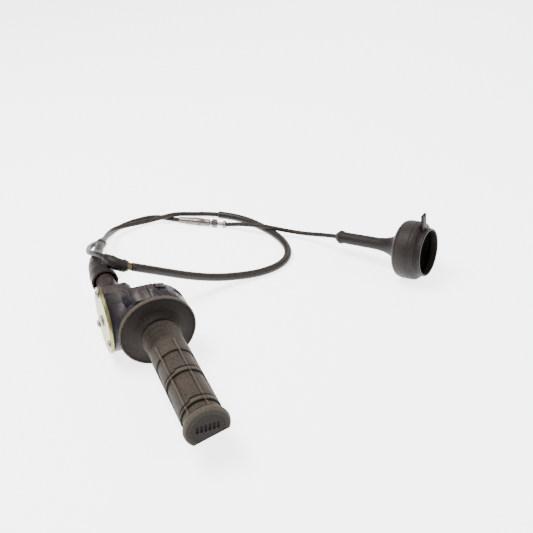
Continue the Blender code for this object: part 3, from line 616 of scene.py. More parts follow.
def block(low: tuple[float, ...], high: tuple[float, ...], rounding: float) -> bmesh.types.BMesh:
    """A box with rounded edges.

    Args:
        low: its lowest corner, in millimetres.
        high: its highest corner.
        rounding: how far its edges are rounded.

    Returns:
        The mesh.
    """
    mesh = bmesh.new()
    bmesh.ops.create_cube(mesh, size=1.0)
    size = [b - a for a, b in zip(low, high)]
    middle = [(a + b) / 2 for a, b in zip(low, high)]
    bmesh.ops.scale(mesh, vec=size, verts=mesh.verts)
    bmesh.ops.translate(mesh, vec=middle, verts=mesh.verts)
    bmesh.ops.bevel(mesh, geom=mesh.edges[:], offset=rounding, segments=3, profile=0.5, affect="EDGES")
    return mesh


def smooth_route(points: tuple[tuple[float, ...], ...], spacing: float) -> list[Vector]:
    """Evenly spaced points on a smooth curve through the given ones.

    Args:
        points: places the curve passes, in millimetres.
        spacing: the wanted distance between the made points.

    Returns:
        The points of a centripetal Catmull-Rom curve.
    """
    knots = [Vector(point) for point in points]
    knots = [2 * knots[0] - knots[1], *knots, 2 * knots[-1] - knots[-2]]
    dense = [knots[1]]
    steps = 24
    for before, start, end, after in zip(knots, knots[1:], knots[2:], knots[3:]):
        times = [0.0]
        for first, second in ((before, start), (start, end), (end, after)):
            times.append(times[-1] + math.sqrt((second - first).length))
        t0, t1, t2, t3 = times
        for step in range(1, steps + 1):
            t = t1 + (t2 - t1) * step / steps
            a1 = before.lerp(start, (t - t0) / (t1 - t0))
            a2 = start.lerp(end, (t - t1) / (t2 - t1))
            a3 = end.lerp(after, (t - t2) / (t3 - t2))
            b1 = a1.lerp(a2, (t - t0) / (t2 - t0))
            b2 = a2.lerp(a3, (t - t1) / (t3 - t1))
            dense.append(b1.lerp(b2, (t - t1) / (t2 - t1)))
    lengths = [0.0]
    for first, second in zip(dense, dense[1:]):
        lengths.append(lengths[-1] + (second - first).length)
    count = max(2, round(lengths[-1] / spacing))
    found = []
    place = 0
    for step in range(count + 1):
        wanted = lengths[-1] * step / count
        while place < len(dense) - 2 and lengths[place + 1] < wanted:
            place += 1
        share = (wanted - lengths[place]) / (lengths[place + 1] - lengths[place])
        found.append(dense[place].lerp(dense[place + 1], share))
    return found


def relaxed(points: list[Vector], reach: int) -> list[Vector]:
    """Evens out a line, with its ends kept.

    Args:
        points: evenly spaced points of the line.
        reach: how many neighbours on each side are averaged.

    Returns:
        The smoother line, with as many points.
    """
    last = len(points) - 1
    found = []
    for place in range(last + 1):
        near = min(reach, place, last - place)
        group = points[place - near : place + near + 1]
        found.append(sum(group, Vector()) / len(group))
    return found


def route_length(points: list[Vector]) -> float:
    """The length of a line through the points, in millimetres."""
    return sum((second - first).length for first, second in zip(points, points[1:]))


def eased(stations: Outline, share: float) -> float:
    """Reads a radius between (share, radius) stations with soft turns.

    Args:
        stations: shares of the length from 0 to 1, each with its radius.
        share: where to read.

    Returns:
        The radius there.
    """
    for (start, first), (end, second) in zip(stations, stations[1:]):
        if share <= end:
            along = (share - start) / max(end - start, 1e-9)
            soft = along * along * (3 - 2 * along)
            return first + (second - first) * (0.5 * along + 0.5 * soft)
    return stations[-1][1]


def swept(centres: list[Vector], outer: list[float], inner: list[float], sides: int) -> bmesh.types.BMesh:
    """A hollow tube along the centres.

    Args:
        centres: the points of its centreline, in millimetres.
        outer: its outer radius at each.
        inner: its inner radius at each.
        sides: how many sides it has.

    Returns:
        The mesh.
    """
    mesh = bmesh.new()
    rings_out = []
    rings_in = []
    across = None
    for place, centre in enumerate(centres):
        ahead = centres[min(place + 1, len(centres) - 1)]
        behind = centres[max(place - 1, 0)]
        along = (ahead - behind).normalized()
        if across is None:
            across = along.cross(Vector((0.0, 0.0, 1.0))).normalized()
        across = (across - along * across.dot(along)).normalized()
        up = along.cross(across)
        for rings, radius in ((rings_out, outer[place]), (rings_in, inner[place])):
            ring = []
            for side in range(sides):
                turn = 2 * math.pi * side / sides
                outward = across * math.cos(turn) + up * math.sin(turn)
                ring.append(mesh.verts.new(centre + radius * outward))
            rings.append(ring)
    loop = rings_out + rings_in[::-1]
    for first, second in zip(loop, loop[1:] + loop[:1]):
        for side in range(sides):
            after = (side + 1) % sides
            mesh.faces.new((first[side], first[after], second[after], second[side]))
    return mesh


def soft_step(value: float, start: float, end: float) -> float:
    """0 before start, 1 after end, and a smooth rise between."""
    share = min(1.0, max(0.0, (value - start) / (end - start)))
    return share * share * (3 - 2 * share)


def even_shading() -> bpy.types.NodeTree:
    """A node group that ignores stored normals and shades every face smooth, made once."""
    name = "even_shading"
    if name in bpy.data.node_groups:
        return bpy.data.node_groups[name]
    group = bpy.data.node_groups.new(name, "GeometryNodeTree")
    for side in ("INPUT", "OUTPUT"):
        group.interface.new_socket("Geometry", in_out=side, socket_type="NodeSocketGeometry")
    start = group.nodes.new("NodeGroupInput")
    dropped = group.nodes.new("GeometryNodeRemoveAttribute")
    dropped.inputs["Name"].default_value = "custom_normal"
    smoothed = group.nodes.new("GeometryNodeSetShadeSmooth")
    end = group.nodes.new("NodeGroupOutput")
    group.links.new(start.outputs[0], dropped.inputs["Geometry"])
    group.links.new(dropped.outputs["Geometry"], smoothed.inputs["Geometry"])
    group.links.new(smoothed.outputs["Geometry"], end.inputs[0])
    return group


ALONG_X = Matrix.Rotation(math.radians(90.0), 4, "Y")
ALONG_Y = Matrix.Rotation(math.radians(-90.0), 4, "X")
BAR_AXIS = Matrix.Translation((0.0, 0.0, BAR_HEIGHT))


@dataclass
class SubAssembly:
    """A group of pieces that is built together.

    Args:
        finishes: the shelf of finishes.
        body: what the pieces ride on.
        weld_reach: how close a carried-over solid's corners are joined, in metres.
        crease: its edges over this angle, in degrees, stay sharp.
    """

    finishes: FinishShelf
    body: Body = Body.HOUSING
    weld_reach: float = 2e-6
    crease: float = 32.0

    def publish(
        self,
        name: str,
        mesh: bmesh.types.BMesh,
        place: Matrix,
        finish: bpy.types.Material,
        nodes: tuple[str, ...],
        slot: str,
        sharp: float = 40.0,
    ) -> bpy.types.Object:
        """Makes a piece from a mesh and hides the solids that it stands for.

        Args:
            name: the piece's name.
            mesh: its shape in millimetres, in its own frame; it is freed.
            place: its frame, in millimetres from the datum.
            finish: its material.
            nodes: the solids that it stands for.
            slot: the record's material slot; not used.
            sharp: edges over this angle, in degrees, stay sharp.

        Returns:
            The object, riding on the body.
        """
        bmesh.ops.recalc_face_normals(mesh, faces=mesh.faces)
        # Convex edges are painted paler: partly wear, partly painted highlight.
        wear_and_highlights = []
        for vertex in mesh.verts:
            bends = [edge.calc_face_angle_signed(0.0) for edge in vertex.link_edges]
            wear_and_highlights.append(min(0.8, max(0.0, max(bends, default=0.0) - 0.1) * 2.2))
        data = bpy.data.meshes.new(name)
        bmesh.ops.transform(mesh, matrix=Matrix.Scale(MM, 4) @ DATUM @ place, verts=mesh.verts)
        mesh.to_mesh(data)
        mesh.free()
        lightened = data.attributes.new(WEAR_AND_HIGHLIGHT, "FLOAT", "POINT")
        lightened.data.foreach_set("value", wear_and_highlights)
        return self.adopt(name, data, finish, nodes, slot, sharp)

    def adopt(
        self,
        name: str,
        data: bpy.types.Mesh,
        finish: bpy.types.Material,
        nodes: tuple[str, ...],
        slot: str,
        sharp: float = 40.0,
    ) -> bpy.types.Object:
        """Makes a piece from mesh data that is already in metres and in place.

        Args:
            name: the piece's name.
            data: its mesh.
            finish: its material.
            nodes: the solids that it stands for.
            slot: the record's material slot; not used.
            sharp: edges over this angle, in degrees, stay sharp.

        Returns:
            The object, riding on the body.
        """
        data.shade_smooth()
        data.set_sharp_from_angle(angle=math.radians(sharp))
        data.materials.clear()
        data.materials.append(finish)
        piece = bpy.data.objects.new(name, data)
        bpy.context.scene.collection.objects.link(piece)
        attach(piece, self.body.value)
        if nodes:
            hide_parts(*nodes)
        LOG.info("%s: %d faces on %s", name, len(data.polygons), self.body.value)
        return piece

    def dress(self, node: str, finish: bpy.types.Material) -> None:
        """Gives a carried-over solid its finish, in its material slots and with modifiers only."""
        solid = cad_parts[node]
        if not solid.material_slots:
            raise ValueError(f"{node} has no material slot")
        for slot in solid.material_slots:
            slot.link = "OBJECT"
            slot.material = finish
        shading = solid.modifiers.new("even_shading", "NODES")
        shading.node_group = even_shading()
        weld = solid.modifiers.new("weld", "WELD")
        weld.merge_threshold = self.weld_reach
        split = solid.modifiers.new("sharp_edges", "EDGE_SPLIT")
        split.split_angle = math.radians(self.crease)
        LOG.info("%s dressed in %s", node, finish.name)

    def carve(
        self, base: bmesh.types.BMesh, steps: list[tuple[str, bmesh.types.BMesh, Matrix]], place: Matrix
    ) -> bpy.types.Mesh:
        """Joins and cuts shapes with Booleans.

        Args:
            base: the first shape, in millimetres, in the frame of place.
            steps: ("UNION" or "DIFFERENCE", shape, its frame from the datum), in order.
            place: the frame of the first shape.

        Returns:
            The resulting mesh, in metres and in place.
        """
        blanks = []
        for number, (mesh, stands) in enumerate([(base, place)] + [(m, s) for _, m, s in steps]):
            bmesh.ops.recalc_face_normals(mesh, faces=mesh.faces)
            bmesh.ops.transform(mesh, matrix=DATUM @ stands, verts=mesh.verts)
            data = bpy.data.meshes.new(f"blank_{number}")
            mesh.to_mesh(data)
            mesh.free()
            blank = bpy.data.objects.new(f"blank_{number}", data)
            bpy.context.scene.collection.objects.link(blank)
            blanks.append(blank)
        for blank, (operation, _, _) in zip(blanks[1:], steps):
            modifier = blanks[0].modifiers.new(blank.name, "BOOLEAN")
            modifier.operation = operation
            modifier.object = blank
            modifier.solver = "EXACT"
        graph = bpy.context.evaluated_depsgraph_get()
        carved = bpy.data.meshes.new_from_object(blanks[0].evaluated_get(graph))
        for blank in blanks:
            bpy.data.objects.remove(blank, do_unlink=True)
        carved.transform(Matrix.Scale(MM, 4))
        return carved


def world_point(point: tuple[float, ...] | Vector) -> Vector:
    """A datum point in millimetres as a place in metres."""
    return (DATUM @ Vector(point)) * MM


# ---- Studio --------------------------------------------------------------------------------


@dataclass
class Studio:
    """Camera, floor and soft lights.

    Args:
        camera_place: where the camera stands, in metres.
        camera_turn: its turn about X, Y and Z, in degrees.
        lens: its focal length, in millimetres.
        sensor: the width of its sensor, in millimetres.
        floor_half: half the side of the floor, in metres.
        lights_aim: what the lights look at, in metres.
        sky_strength: the strength of the even light from all around.
    """

    camera_place: tuple[float, float, float] = (-0.10965, -0.4733, 0.4066)
    camera_turn: tuple[float, float, float] = (57.72, 0.0, -23.37)
    lens: float = 50.66
    sensor: float = 36.0
    floor_half: float = 6.0
    lights_aim: tuple[float, float, float] = (0.08, 0.02, 0.02)
    sky_strength: float = 0.35

    def build(self) -> None:
        """Sets up the camera, the floor and the lights."""
        lens = bpy.data.cameras.new("camera")
        lens.lens = self.lens
        lens.sensor_width = self.sensor
        camera = bpy.data.objects.new("camera", lens)
        camera.location = self.camera_place
        camera.rotation_euler = [math.radians(turn) for turn in self.camera_turn]
        bpy.context.scene.collection.objects.link(camera)
        bpy.context.scene.camera = camera

        paper = bpy.data.meshes.new("floor")
        half = self.floor_half
        corners = [(-half, -half, 0.0), (half, -half, 0.0), (half, half, 0.0), (-half, half, 0.0)]
        paper.from_pydata(corners, [], [(0, 1, 2, 3)])
        paper.materials.append(floor_material())
        floor = bpy.data.objects.new("floor", paper)
        bpy.context.scene.collection.objects.link(floor)

        self.light("key", (-0.35, 0.25, 1.2), size=0.6, power=32.0)
        self.light("front_fill", (0.8, -0.8, 0.9), size=0.9, power=12.0)
        self.light("rim", (0.9, 1.0, 0.8), size=0.9, power=8.0)

        sky = bpy.data.worlds.new("studio")
        sky.use_nodes = True
        bpy.context.scene.world = sky
        backdrop = sky.node_tree.nodes["Background"]
        backdrop.inputs["Color"].default_value = (1.0, 1.0, 1.0, 1.0)
        backdrop.inputs["Strength"].default_value = self.sky_strength
        LOG.info("studio: camera at %s", self.camera_place)

    def light(self, name: str, place: tuple[float, float, float], size: float, power: float) -> None:
        """Hangs a soft light that looks at the grip.

        Args:
            name: its name.
            place: where it hangs, in metres.
            size: the side of its square, in metres.
            power: its power, in watts.
        """
        lamp = bpy.data.lights.new(name, "AREA")
        lamp.size = size
        lamp.energy = power
        hung = bpy.data.objects.new(name, lamp)
        hung.location = place
        aim = Vector(self.lights_aim) - Vector(place)
        hung.rotation_euler = aim.to_track_quat("-Z", "Y").to_euler()
        bpy.context.scene.collection.objects.link(hung)


# ---- Cables --------------------------------------------------------------------------------

MAIN_BOOT_ROUTE = (
    (-27, 66, 48.75), (-27, 78, 48.75), (-27, 88, 48.75), (-26.6, 98, 48), (-24.6, 112, 45),
    (-20.6, 128, 41), (-16.4, 143, 37.4), (-12.6, 156, 33.6), (-10.2, 163, 31.2),
)
FRONT_ROUTE = ((-27, 89, 48.7), *MAIN_BOOT_ROUTE[3:]) + (
    (-5.2, 176.6, 26), (2.6, 200.5, 17.6), (11.2, 218.7, 11.6), (19.4, 226, 9.6), (29.1, 230.6, 7.6),
    (42.9, 235.2, 5), (57.6, 237.7, 4), (67.6, 234.6, 6.4), (78, 230.4, 9.8), (90.6, 230.4, 9.2),
    (104.8, 232.1, 4.8), (119.9, 227.6, 4.3), (133, 220, 4.3), (144, 211, 4.3), (153, 201, 4.3),
    (160, 190, 4.3), (166, 176, 4.3), (171, 162, 4.3), (174, 149, 4.3), (175, 138, 4.3),
    (174, 126, 4.3), (171, 115, 4.3), (165, 105, 4.3), (157, 98, 4.3), (147, 93.5, 4.3),
    (137, 91, 4.3), (123.4, 89.6, 4.8), (107.4, 88.8, 6.8), (87.3, 87.4, 11), (68, 84.6, 18),
    (53.8, 82.2, 24.5), (41.2, 79.8, 31), (27.8, 77, 38.5), (14.7, 73.9, 46), (4.9, 71.7, 51.5),
    (-1.9, 70.4, 55.2), (-5.6, 70, 57),
)
INLINE_BOOT_ROUTE = (
    (-8.3, 69.7, 58.3), (-12.1, 69.5, 60.1), (-15.9, 71.4, 61.9), (-19.3, 75.6, 63.2), (-22.2, 82, 63.4),
)
MIDDLE_ROUTE = (
    (-11.3, 69.4, 59.6), (-13.6, 69.9, 60.7), (-16.1, 71.5, 61.9), (-19.3, 75.6, 63.2), (-22.2, 82, 63.4),
    (-25.2, 91, 61.8), (-28, 99.4, 59), (-29.8, 107.4, 55.4), (-30, 117.6, 50.6), (-28.2, 131, 44.8),
    (-25.6, 144, 39.2), (-22, 155.6, 34.2), (-17.8, 166, 29.6), (-12.8, 177.6, 23.6), (-8.2, 192, 16),
    (-3.4, 205.3, 9.4), (4.4, 219.5, 4.4), (14, 231.2, 3), (23.3, 238.6, 2.9), (31, 242.2, 2.9),
    (38, 244.4, 2.9), (47, 246.2, 2.9), (57.7, 247, 2.9), (67.6, 245.6, 2.9), (75.6, 239.6, 2.9),
    (80.6, 232.4, 3.6), (85.3, 227.5, 4.5), (89, 224.9, 4.5), (92.5, 222.5, 4.5),
)
REAR_ROUTE = (
    (130.2, 196.4, 4.5), (137, 191.6, 5), (147, 183, 7.6), (156, 172, 11.4), (164.5, 162, 12.4),
    (174, 156.4, 11.2), (185, 153, 6.4), (196, 147, 3.4), (204, 135, 7.4), (209, 122.8, 12.6),
    (213.6, 111.2, 17.1), (218, 104.6, 18.2),
)
CAP_MOUTH = Vector((275.2, 18.8, 31.75))
CAP_HEADING = math.radians(-56.3)
CAP_TILT = math.radians(7.5)
CAP_OUTWARD = Vector(
    (
        math.cos(CAP_TILT) * math.cos(CAP_HEADING),
        math.cos(CAP_TILT) * math.sin(CAP_HEADING),
        math.sin(CAP_TILT),
    )
)


@dataclass
class ControlCable(SubAssembly):
    """One stretch of the jacketed cable.

    Args:
        node: the solid that it stands for.
        route: places its centreline passes, in millimetres.
        radius: its outer radius, in millimetres.
        lay: how it lies; not used.
        ease: how many points on each side even out its line.
        spacing: the distance between its points, in millimetres.
        swell: how much its radius varies, as a share.
        swell_scale: how fast it varies, per millimetre.
    """

    node: str = ""
    route: tuple[tuple[float, ...], ...] = ()
    radius: float = 2.5
    lay: str = "loose"
    ease: int = 5
    spacing: float = 2.0
    swell: float = 0.012
    swell_scale: float = 0.11

    def build(self, with_pieces: list[bpy.types.Object]) -> bpy.types.Object:
        """Args:
            with_pieces: the separate pieces on it; not used.

        Returns:
            The cable.
        """
        centres = relaxed(smooth_route(self.route, self.spacing), self.ease)
        line = bpy.data.curves.new(f"{self.node}_jacket", "CURVE")
        line.dimensions = "3D"
        line.bevel_depth = self.radius * MM
        line.bevel_resolution = 6
        line.use_fill_caps = True
        spline = line.splines.new("POLY")
        spline.points.add(len(centres) - 1)
        for knot, centre in zip(spline.points, centres):
            knot.co = (*world_point(centre), 1.0)
            knot.radius = 1.0 + self.swell * noise.noise(Vector(centre) * self.swell_scale)
        spline.use_smooth = True
        line.materials.append(self.finishes.jacket)
        cable = bpy.data.objects.new(f"{self.node}_jacket", line)
        bpy.context.scene.collection.objects.link(cable)
        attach(cable, self.body.value)
        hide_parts(self.node)
        LOG.info("%s: %.0f mm long", self.node, route_length(centres))
        return cable


@dataclass
class CableBoots(SubAssembly):
    """The rubber boot on the neck, the sleeve in the loop and the small boot of the in-line joint.

    Args:
        ripple: the height of the boots' moulded rings, in millimetres.
        lip: how far a boot's first end stands out.
        sleeve_start: where the sleeve starts.
        sleeve_radii: its outer and inner radius.
        sleeve_chamfer: how much less its outer radius is at its ends.
    """

    ripple: float = 0.06
    lip: float = 0.25
    sleeve_start: tuple[float, float, float] = (133, 220, 4.3)
    sleeve_radii: tuple[float, float] = (3.85, 2.95)
    sleeve_chamfer: float = 0.3

    def neck_boot(self) -> bpy.types.Object:
        """The long tapering boot over the neck and its adjuster.

        Returns:
            The boot.
        """
        outer = (
            (0, 11.4), (0.1, 11.2), (0.22, 9.6), (0.36, 7.2), (0.5, 5.2), (0.62, 4.4), (0.93, 4.2),
            (0.94, 4.9), (1, 4.9),
        )
        inner = ((0, 9.9), (0.1, 9.7), (0.2, 8.6), (0.3, 5.6), (0.42, 3.2), (1, 3.1))
        return self.boot("neck_boot", MAIN_BOOT_ROUTE, outer, inner, "main_boot")

    def joint_boot(self) -> bpy.types.Object:
        """The small boot behind the in-line fitting.

        Returns:
            The boot.
        """
        outer = ((0, 5.6), (0.6, 5.5), (0.8, 4.4), (1, 3.6))
        inner = ((0, 4.6), (0.3, 4.6), (0.45, 3.3), (1, 3.1))
        return self.boot("joint_boot", INLINE_BOOT_ROUTE, outer, inner, "inline_boot")

    def boot(
        self,
        name: str,
        route: tuple[tuple[float, ...], ...],
        outer: Outline,
        inner: Outline,
        node: str,
    ) -> bpy.types.Object:
        """A rubber boot with faint moulded rings.

        Args:
            name: its name.
            route: places its centreline passes, in millimetres.
            outer: (share of the length, outer radius) stations.
            inner: the same for its inside.
            node: the solid that it stands for.

        Returns:
            The boot.
        """
        centres = smooth_route(route, 0.8)
        last = len(centres) - 1
        outside = []
        for place in range(len(centres)):
            share = place / last
            ripple = self.ripple * math.sin(place * 0.9) * soft_step(share, 0.02, 0.1)
            lip = self.lip * soft_step(share, 0.05, 0.0)
            outside.append(eased(outer, share) + ripple + lip)
        inside = [eased(inner, place / last) for place in range(len(centres))]
        mesh = swept(centres, outside, inside, 64)
        return self.publish(name, mesh, Matrix.Identity(4), self.finishes.boot, (node,), "boot_rubber")

    def sleeve(self) -> bpy.types.Object:
        """The smooth sleeve around the loop and the long straight run.

        Returns:
            The sleeve.
        """
        centres = relaxed(smooth_route(FRONT_ROUTE, 2.0), 5)
        start = min(range(len(centres)), key=lambda i: (centres[i] - Vector(self.sleeve_start)).length)
        end = min(range(len(centres)), key=lambda i: (centres[i] - Vector(FRONT_ROUTE[-2])).length)
        centres = centres[start : end + 1]
        last = len(centres) - 1
        outer, inner = self.sleeve_radii
        outside = [outer - self.sleeve_chamfer * (place in (0, last)) for place in range(len(centres))]
        mesh = swept(centres, outside, [inner] * len(centres), 40)
        return self.publish(
            "loop_sleeve", mesh, Matrix.Identity(4), self.finishes.sleeve, ("protective_sleeve",), "sleeve"
        )


@dataclass
class CarburettorBoot(SubAssembly):
    """The horn-shaped rubber boot with an open mouth, for the carburettor's top.

    Args:
        outline: its (radius, place) outline, back from the mouth and forward again inside.
        edge: how far the outline's corners are rounded.
    """

    edge: float = 1.2
    outline: Outline = (
        (21.6, 0), (23.2, 0), (23.6, 0.8), (23.6, 3.4), (22.6, 4.2), (23.4, 5.6), (26.6, 7), (28.3, 9),
        (28.5, 11.4), (28.2, 11.9), (28.2, 12.3), (28.6, 12.8), (28.6, 22), (27.6, 26), (24.6, 28.6),
        (17.5, 30.2), (12.8, 33.5), (9.4, 39),
        (7.2, 46), (6.2, 54), (6, 92), (6.9, 94.2), (6.9, 96.4), (5.6, 98.2), (3.4, 101), (2.7, 101),
        (2.7, 96.5), (3.7, 95), (3.7, 54), (5, 45), (8, 37), (14, 32.4), (22.6, 28), (26, 23), (26, 10),
        (21.6, 6.4),
    )

    def stand(self) -> Matrix:
        """The boot's frame: Z runs back from the mouth, Y is up.

        Returns:
            The frame, in millimetres from the datum.
        """
        back = -CAP_OUTWARD.normalized()
        across = Vector((0.0, 0.0, 1.0)).cross(back).normalized()
        up = back.cross(across)
        turn = Matrix((across, up, back)).transposed().to_4x4()
        return Matrix.Translation(CAP_MOUTH) @ turn

    def build(self) -> list[bpy.types.Object]:
        """Builds the boot and its pull tab.

        Returns:
            The boot and the tab.
        """
        mesh = turned(rounded(self.outline, self.edge, 4), 128)
        boot = self.publish(
            "carburettor_boot_rubber", mesh, self.stand(), self.finishes.boot, ("carburettor_boot",),
            "boot_rubber", 60.0,
        )
        tab = block((-4.2, 21.5, 3.6), (4.2, 40.0, 6.2), 0.9)
        notch = block((-1.2, 37.4, 0.0), (1.2, 41.0, 9.0), 0.4)
        carved = self.carve(tab, [("DIFFERENCE", notch, self.stand())], self.stand())
        pull = self.adopt("boot_pull_tab", carved, self.finishes.boot, (), "boot_rubber", 50.0)
        return [boot, pull]


# ---- Grip ----------------------------------------------------------------------------------


@dataclass
class GripRubber(SubAssembly):
    """The moulded rubber of the grip, with ribs, stepped panels, grooves and a flange.

    Args:
        segments: steps around it.
        rows: distance between rows along it, in millimetres.
        ribs: how many ribs run along it.
        rib_first: the angle of one of them, in degrees from the top.
        barrel_radius: the radius between the ribs, in millimetres.
        relief_from: the end of the relief that is nearer the grip's end.
        relief_to: the end of the relief that is nearer the flange.
        depth: the depth of grooves and panels, in millimetres.
        panels: for each panel, the groove before it or None, how far the groove jogs, the step
            and the panel's far end, as places along the grip.
        step_blur: how far the painted shade at a step reaches, in millimetres.
        groove_blur: half the width of a groove.
        ridge_pitch: the distance between the ridges of the band by the flange.
        ridge_height: the height of those ridges.
        ring_pitch: the distance between the fine rings by the flange.
        ring_height: the height of those rings.
        slots: how many slots the end face has.
        slot_pitch: the distance between them.
        slot_depth: their depth.
        end: where the grip ends.
        face_radius: the radius of the flat end face.
        face_rings: how many rings of faces it has.
        flat_turn: how far the worn flat is turned from the bottom, in degrees.
        flat_slope: its slope, in degrees.
        flat_drop: how far below the axis it meets the end face.
        profile: the (radius, place) outline of the skin, from the end face to its inside.
    """

    body: Body = Body.GRIP
    segments: int = 320
    rows: float = 0.36
    ribs: int = 6
    rib_first: float = 14.0
    barrel_radius: float = 15.5
    relief_from: float = -116.0
    relief_to: float = -8.0
    depth: float = 0.95
    panels: tuple[tuple[float | None, float, float, float], ...] = (
        (None, 0.0, -46.5, -68.0), (-69.4, 1.6, -72.6, -102.5), (-104.3, 2.0, -107.0, -114.5),
    )
    step_blur: float = 0.95
    groove_blur: float = 0.85
    ridge_pitch: float = 1.15
    ridge_height: float = 0.36
    ring_pitch: float = 1.8
    ring_height: float = 0.16
    slots: int = 6
    slot_pitch: float = 3.1
    slot_depth: float = 0.9
    end: float = -121.0
    face_radius: float = 15.9
    face_rings: int = 44
    flat_turn: float = -15.8
    flat_slope: float = 44.0
    flat_drop: float = 9.3
    profile: Outline = (
        (15.9, -121), (16.9, -120.8), (17.3, -120.4), (17.8, -119.2), (17.8, -117.6), (17.2, -116.4),
        (15.9, -115.4), (15.5, -113.8), (15.5, -16), (16.2, -13.5), (16.4, -8.6), (15.6, -7.6),
        (15.6, -6.8), (17.4, -6.2), (18.8, -3.4), (21.5, 0), (24.0, 0.9), (26, 1.3), (28.4, 1.4),
        (30.4, 1.2), (31.2, 0.5), (31.6, 0), (32.3, 0), (32.7, 0.6), (32.7, 3.2), (32, 3.9), (13.3, 3.9),
        (13.3, -116.6), (0, -116.6),
    )

    def relief(self, along: float, angle: float) -> tuple[float, float, float]:
        """Height, paleness and painted shade at a place on the cylinder.

        Args:
            along: millimetres from the flange's rim plane, negative towards the end.
            angle: degrees from the top towards +X.

        Returns:
            How far the surface stands off the plain profile, in millimetres, how pale it is painted
            (wear and painted highlight) and how much painted shade it gets, each from 0 to 1.
        """
        if along < self.relief_from or along > self.relief_to:
            return 0.0, 0.0, 0.0
        gap = 360.0 / self.ribs
        millimetres_per_degree = math.radians(self.barrel_radius)
        from_rib = abs((angle - self.rib_first + gap / 2) % gap - gap / 2) * millimetres_per_degree
        fade = soft_step(along, -31.0, -34.0) * soft_step(along, -115.6, -114.6)
        rib = soft_step(from_rib, 1.05, 0.65) * fade
        jog = soft_step(angle, -29.0, -25.0) if abs(angle) < 120 else 0.0
        height = wear_and_highlight = painted_shade = 0.0
        for middle, shift, step, end in self.panels:
            groove = None if middle is None else middle + shift * jog
            if end < along < step + 0.5:
                drop = soft_step(along, step + 0.3, step - 0.25)
                ramp = 1.0 - soft_step(along, step - 1.0, end) ** 0.8
                height -= self.depth * drop * ramp
                # Painted shade just past each step, where the panel drops in.
                painted_shade = max(painted_shade, math.exp(-(((along - step + 0.75) / self.step_blur) ** 4)))
            if groove is not None:
                # Painted shade down in each groove.
                cut = math.exp(-(((along - groove) / self.groove_blur) ** 4))
                height -= 1.3 * self.depth * cut
                painted_shade = max(painted_shade, cut)
                if step < along < groove - 0.6:
                    height += 0.35
                    # The raised ring is painted pale, partly for wear and partly as painted highlight.
                    wear_and_highlight = max(wear_and_highlight, 0.75)
            # The edge at each step is painted pale, partly for wear and partly as painted highlight.
            wear_and_highlight = max(wear_and_highlight, 0.8 * math.exp(-(((along - step - 0.5) / 0.45) ** 2)))
        off_the_steps = along < -60 and all(abs(along - step) > 0.8 for _, _, step, _ in self.panels)
        across_rib = rib * (1.0 - 0.75 * painted_shade * off_the_steps)
        height = height * (1.0 - across_rib) + 0.3 * across_rib
        # Ribs are painted pale, partly for wear and partly as painted highlight.
        wear_and_highlight = max(wear_and_highlight * (1.0 - 0.2 * rib), 0.9 * rib * (1.0 - 0.6 * painted_shade))
        beside = math.exp(-(((from_rib - 1.35) / 0.35) ** 2)) * fade
        # Painted shade in the lines beside each rib.
        painted_shade = max(painted_shade * (1.0 - across_rib), 0.7 * beside)
        if -34.0 < along < -9.0 and -95.0 < angle < 35.0:
            share = soft_step(along, -34.0, -26.0)
            share *= soft_step(angle, -95.0, -60.0) * soft_step(angle, 35.0, -10.0)
            ridge = 0.5 + 0.5 * math.cos(2 * math.pi * along / self.ridge_pitch)
            height += self.ridge_height * share * (ridge - 0.5)
            # Painted shade in the valleys between the ridges.
            painted_shade = max(painted_shade, 0.9 * share * (1.0 - ridge))
        if -14.2 < along < -8.4:
            ridge = 0.5 + 0.5 * math.cos(2 * math.pi * (along + 8.6) / self.ring_pitch)
            height += self.ring_height * (ridge - 0.5)
            # Painted shade between the fine rings; their crests are painted pale, partly wear and partly
            # painted highlight.
            painted_shade = max(painted_shade, 0.55 * (1.0 - ridge))
            wear_and_highlight = max(wear_and_highlight, 0.3 * ridge)
        return height, wear_and_highlight, painted_shade

    def stations(self) -> list[tuple[float, float, bool]]:
        """Rows of the skin from the end face's rim to the inside of the cap.

        Returns:
            (radius, place along, whether the relief applies) for each row.
        """
        outline = rounded(self.profile, 0.5, 3)
        found = []
        for (radius, along), (next_radius, next_along) in zip(outline, outline[1:]):
            outside = radius > 14.0 and along < 2.0 and next_radius > 14.0
            length = math.hypot(next_radius - radius, next_along - along)
            count = max(1, math.ceil(length / self.rows)) if outside else 1
            for step in range(count):
                share = step / count
                found.append(
                    (radius + (next_radius - radius) * share, along + (next_along - along) * share, outside)
                )
        found.append((outline[-1][0], outline[-1][1], False))
        return found

    def face_depth(self, across: float, up: float) -> tuple[float, float]:
        """Depth and painted shade of the end face's recess with its row of slots.

        Args:
            across: millimetres from the axis, towards +X.
            up: millimetres from the axis, upwards.

        Returns:
            The depth of the face, in millimetres, and how much painted shade it gets.
        """
        radius = math.hypot(across, up)
        depth = 0.4 * soft_step(radius, 13.4, 12.4)
        # Painted shade over the whole end face, more in its recess; the slots below are painted darkest.
        painted_shade = 0.5 + 0.25 * soft_step(radius, 13.8, 12.2)
        for number in range(self.slots):
            middle = (number - (self.slots - 1) / 2) * self.slot_pitch
            reach = math.hypot(across - middle, max(0.0, abs(up - 0.6) - 2.2))
            cut = soft_step(reach, 1.05, 0.7)
            depth += self.slot_depth * cut
            painted_shade = max(painted_shade, cut)
        return depth, painted_shade

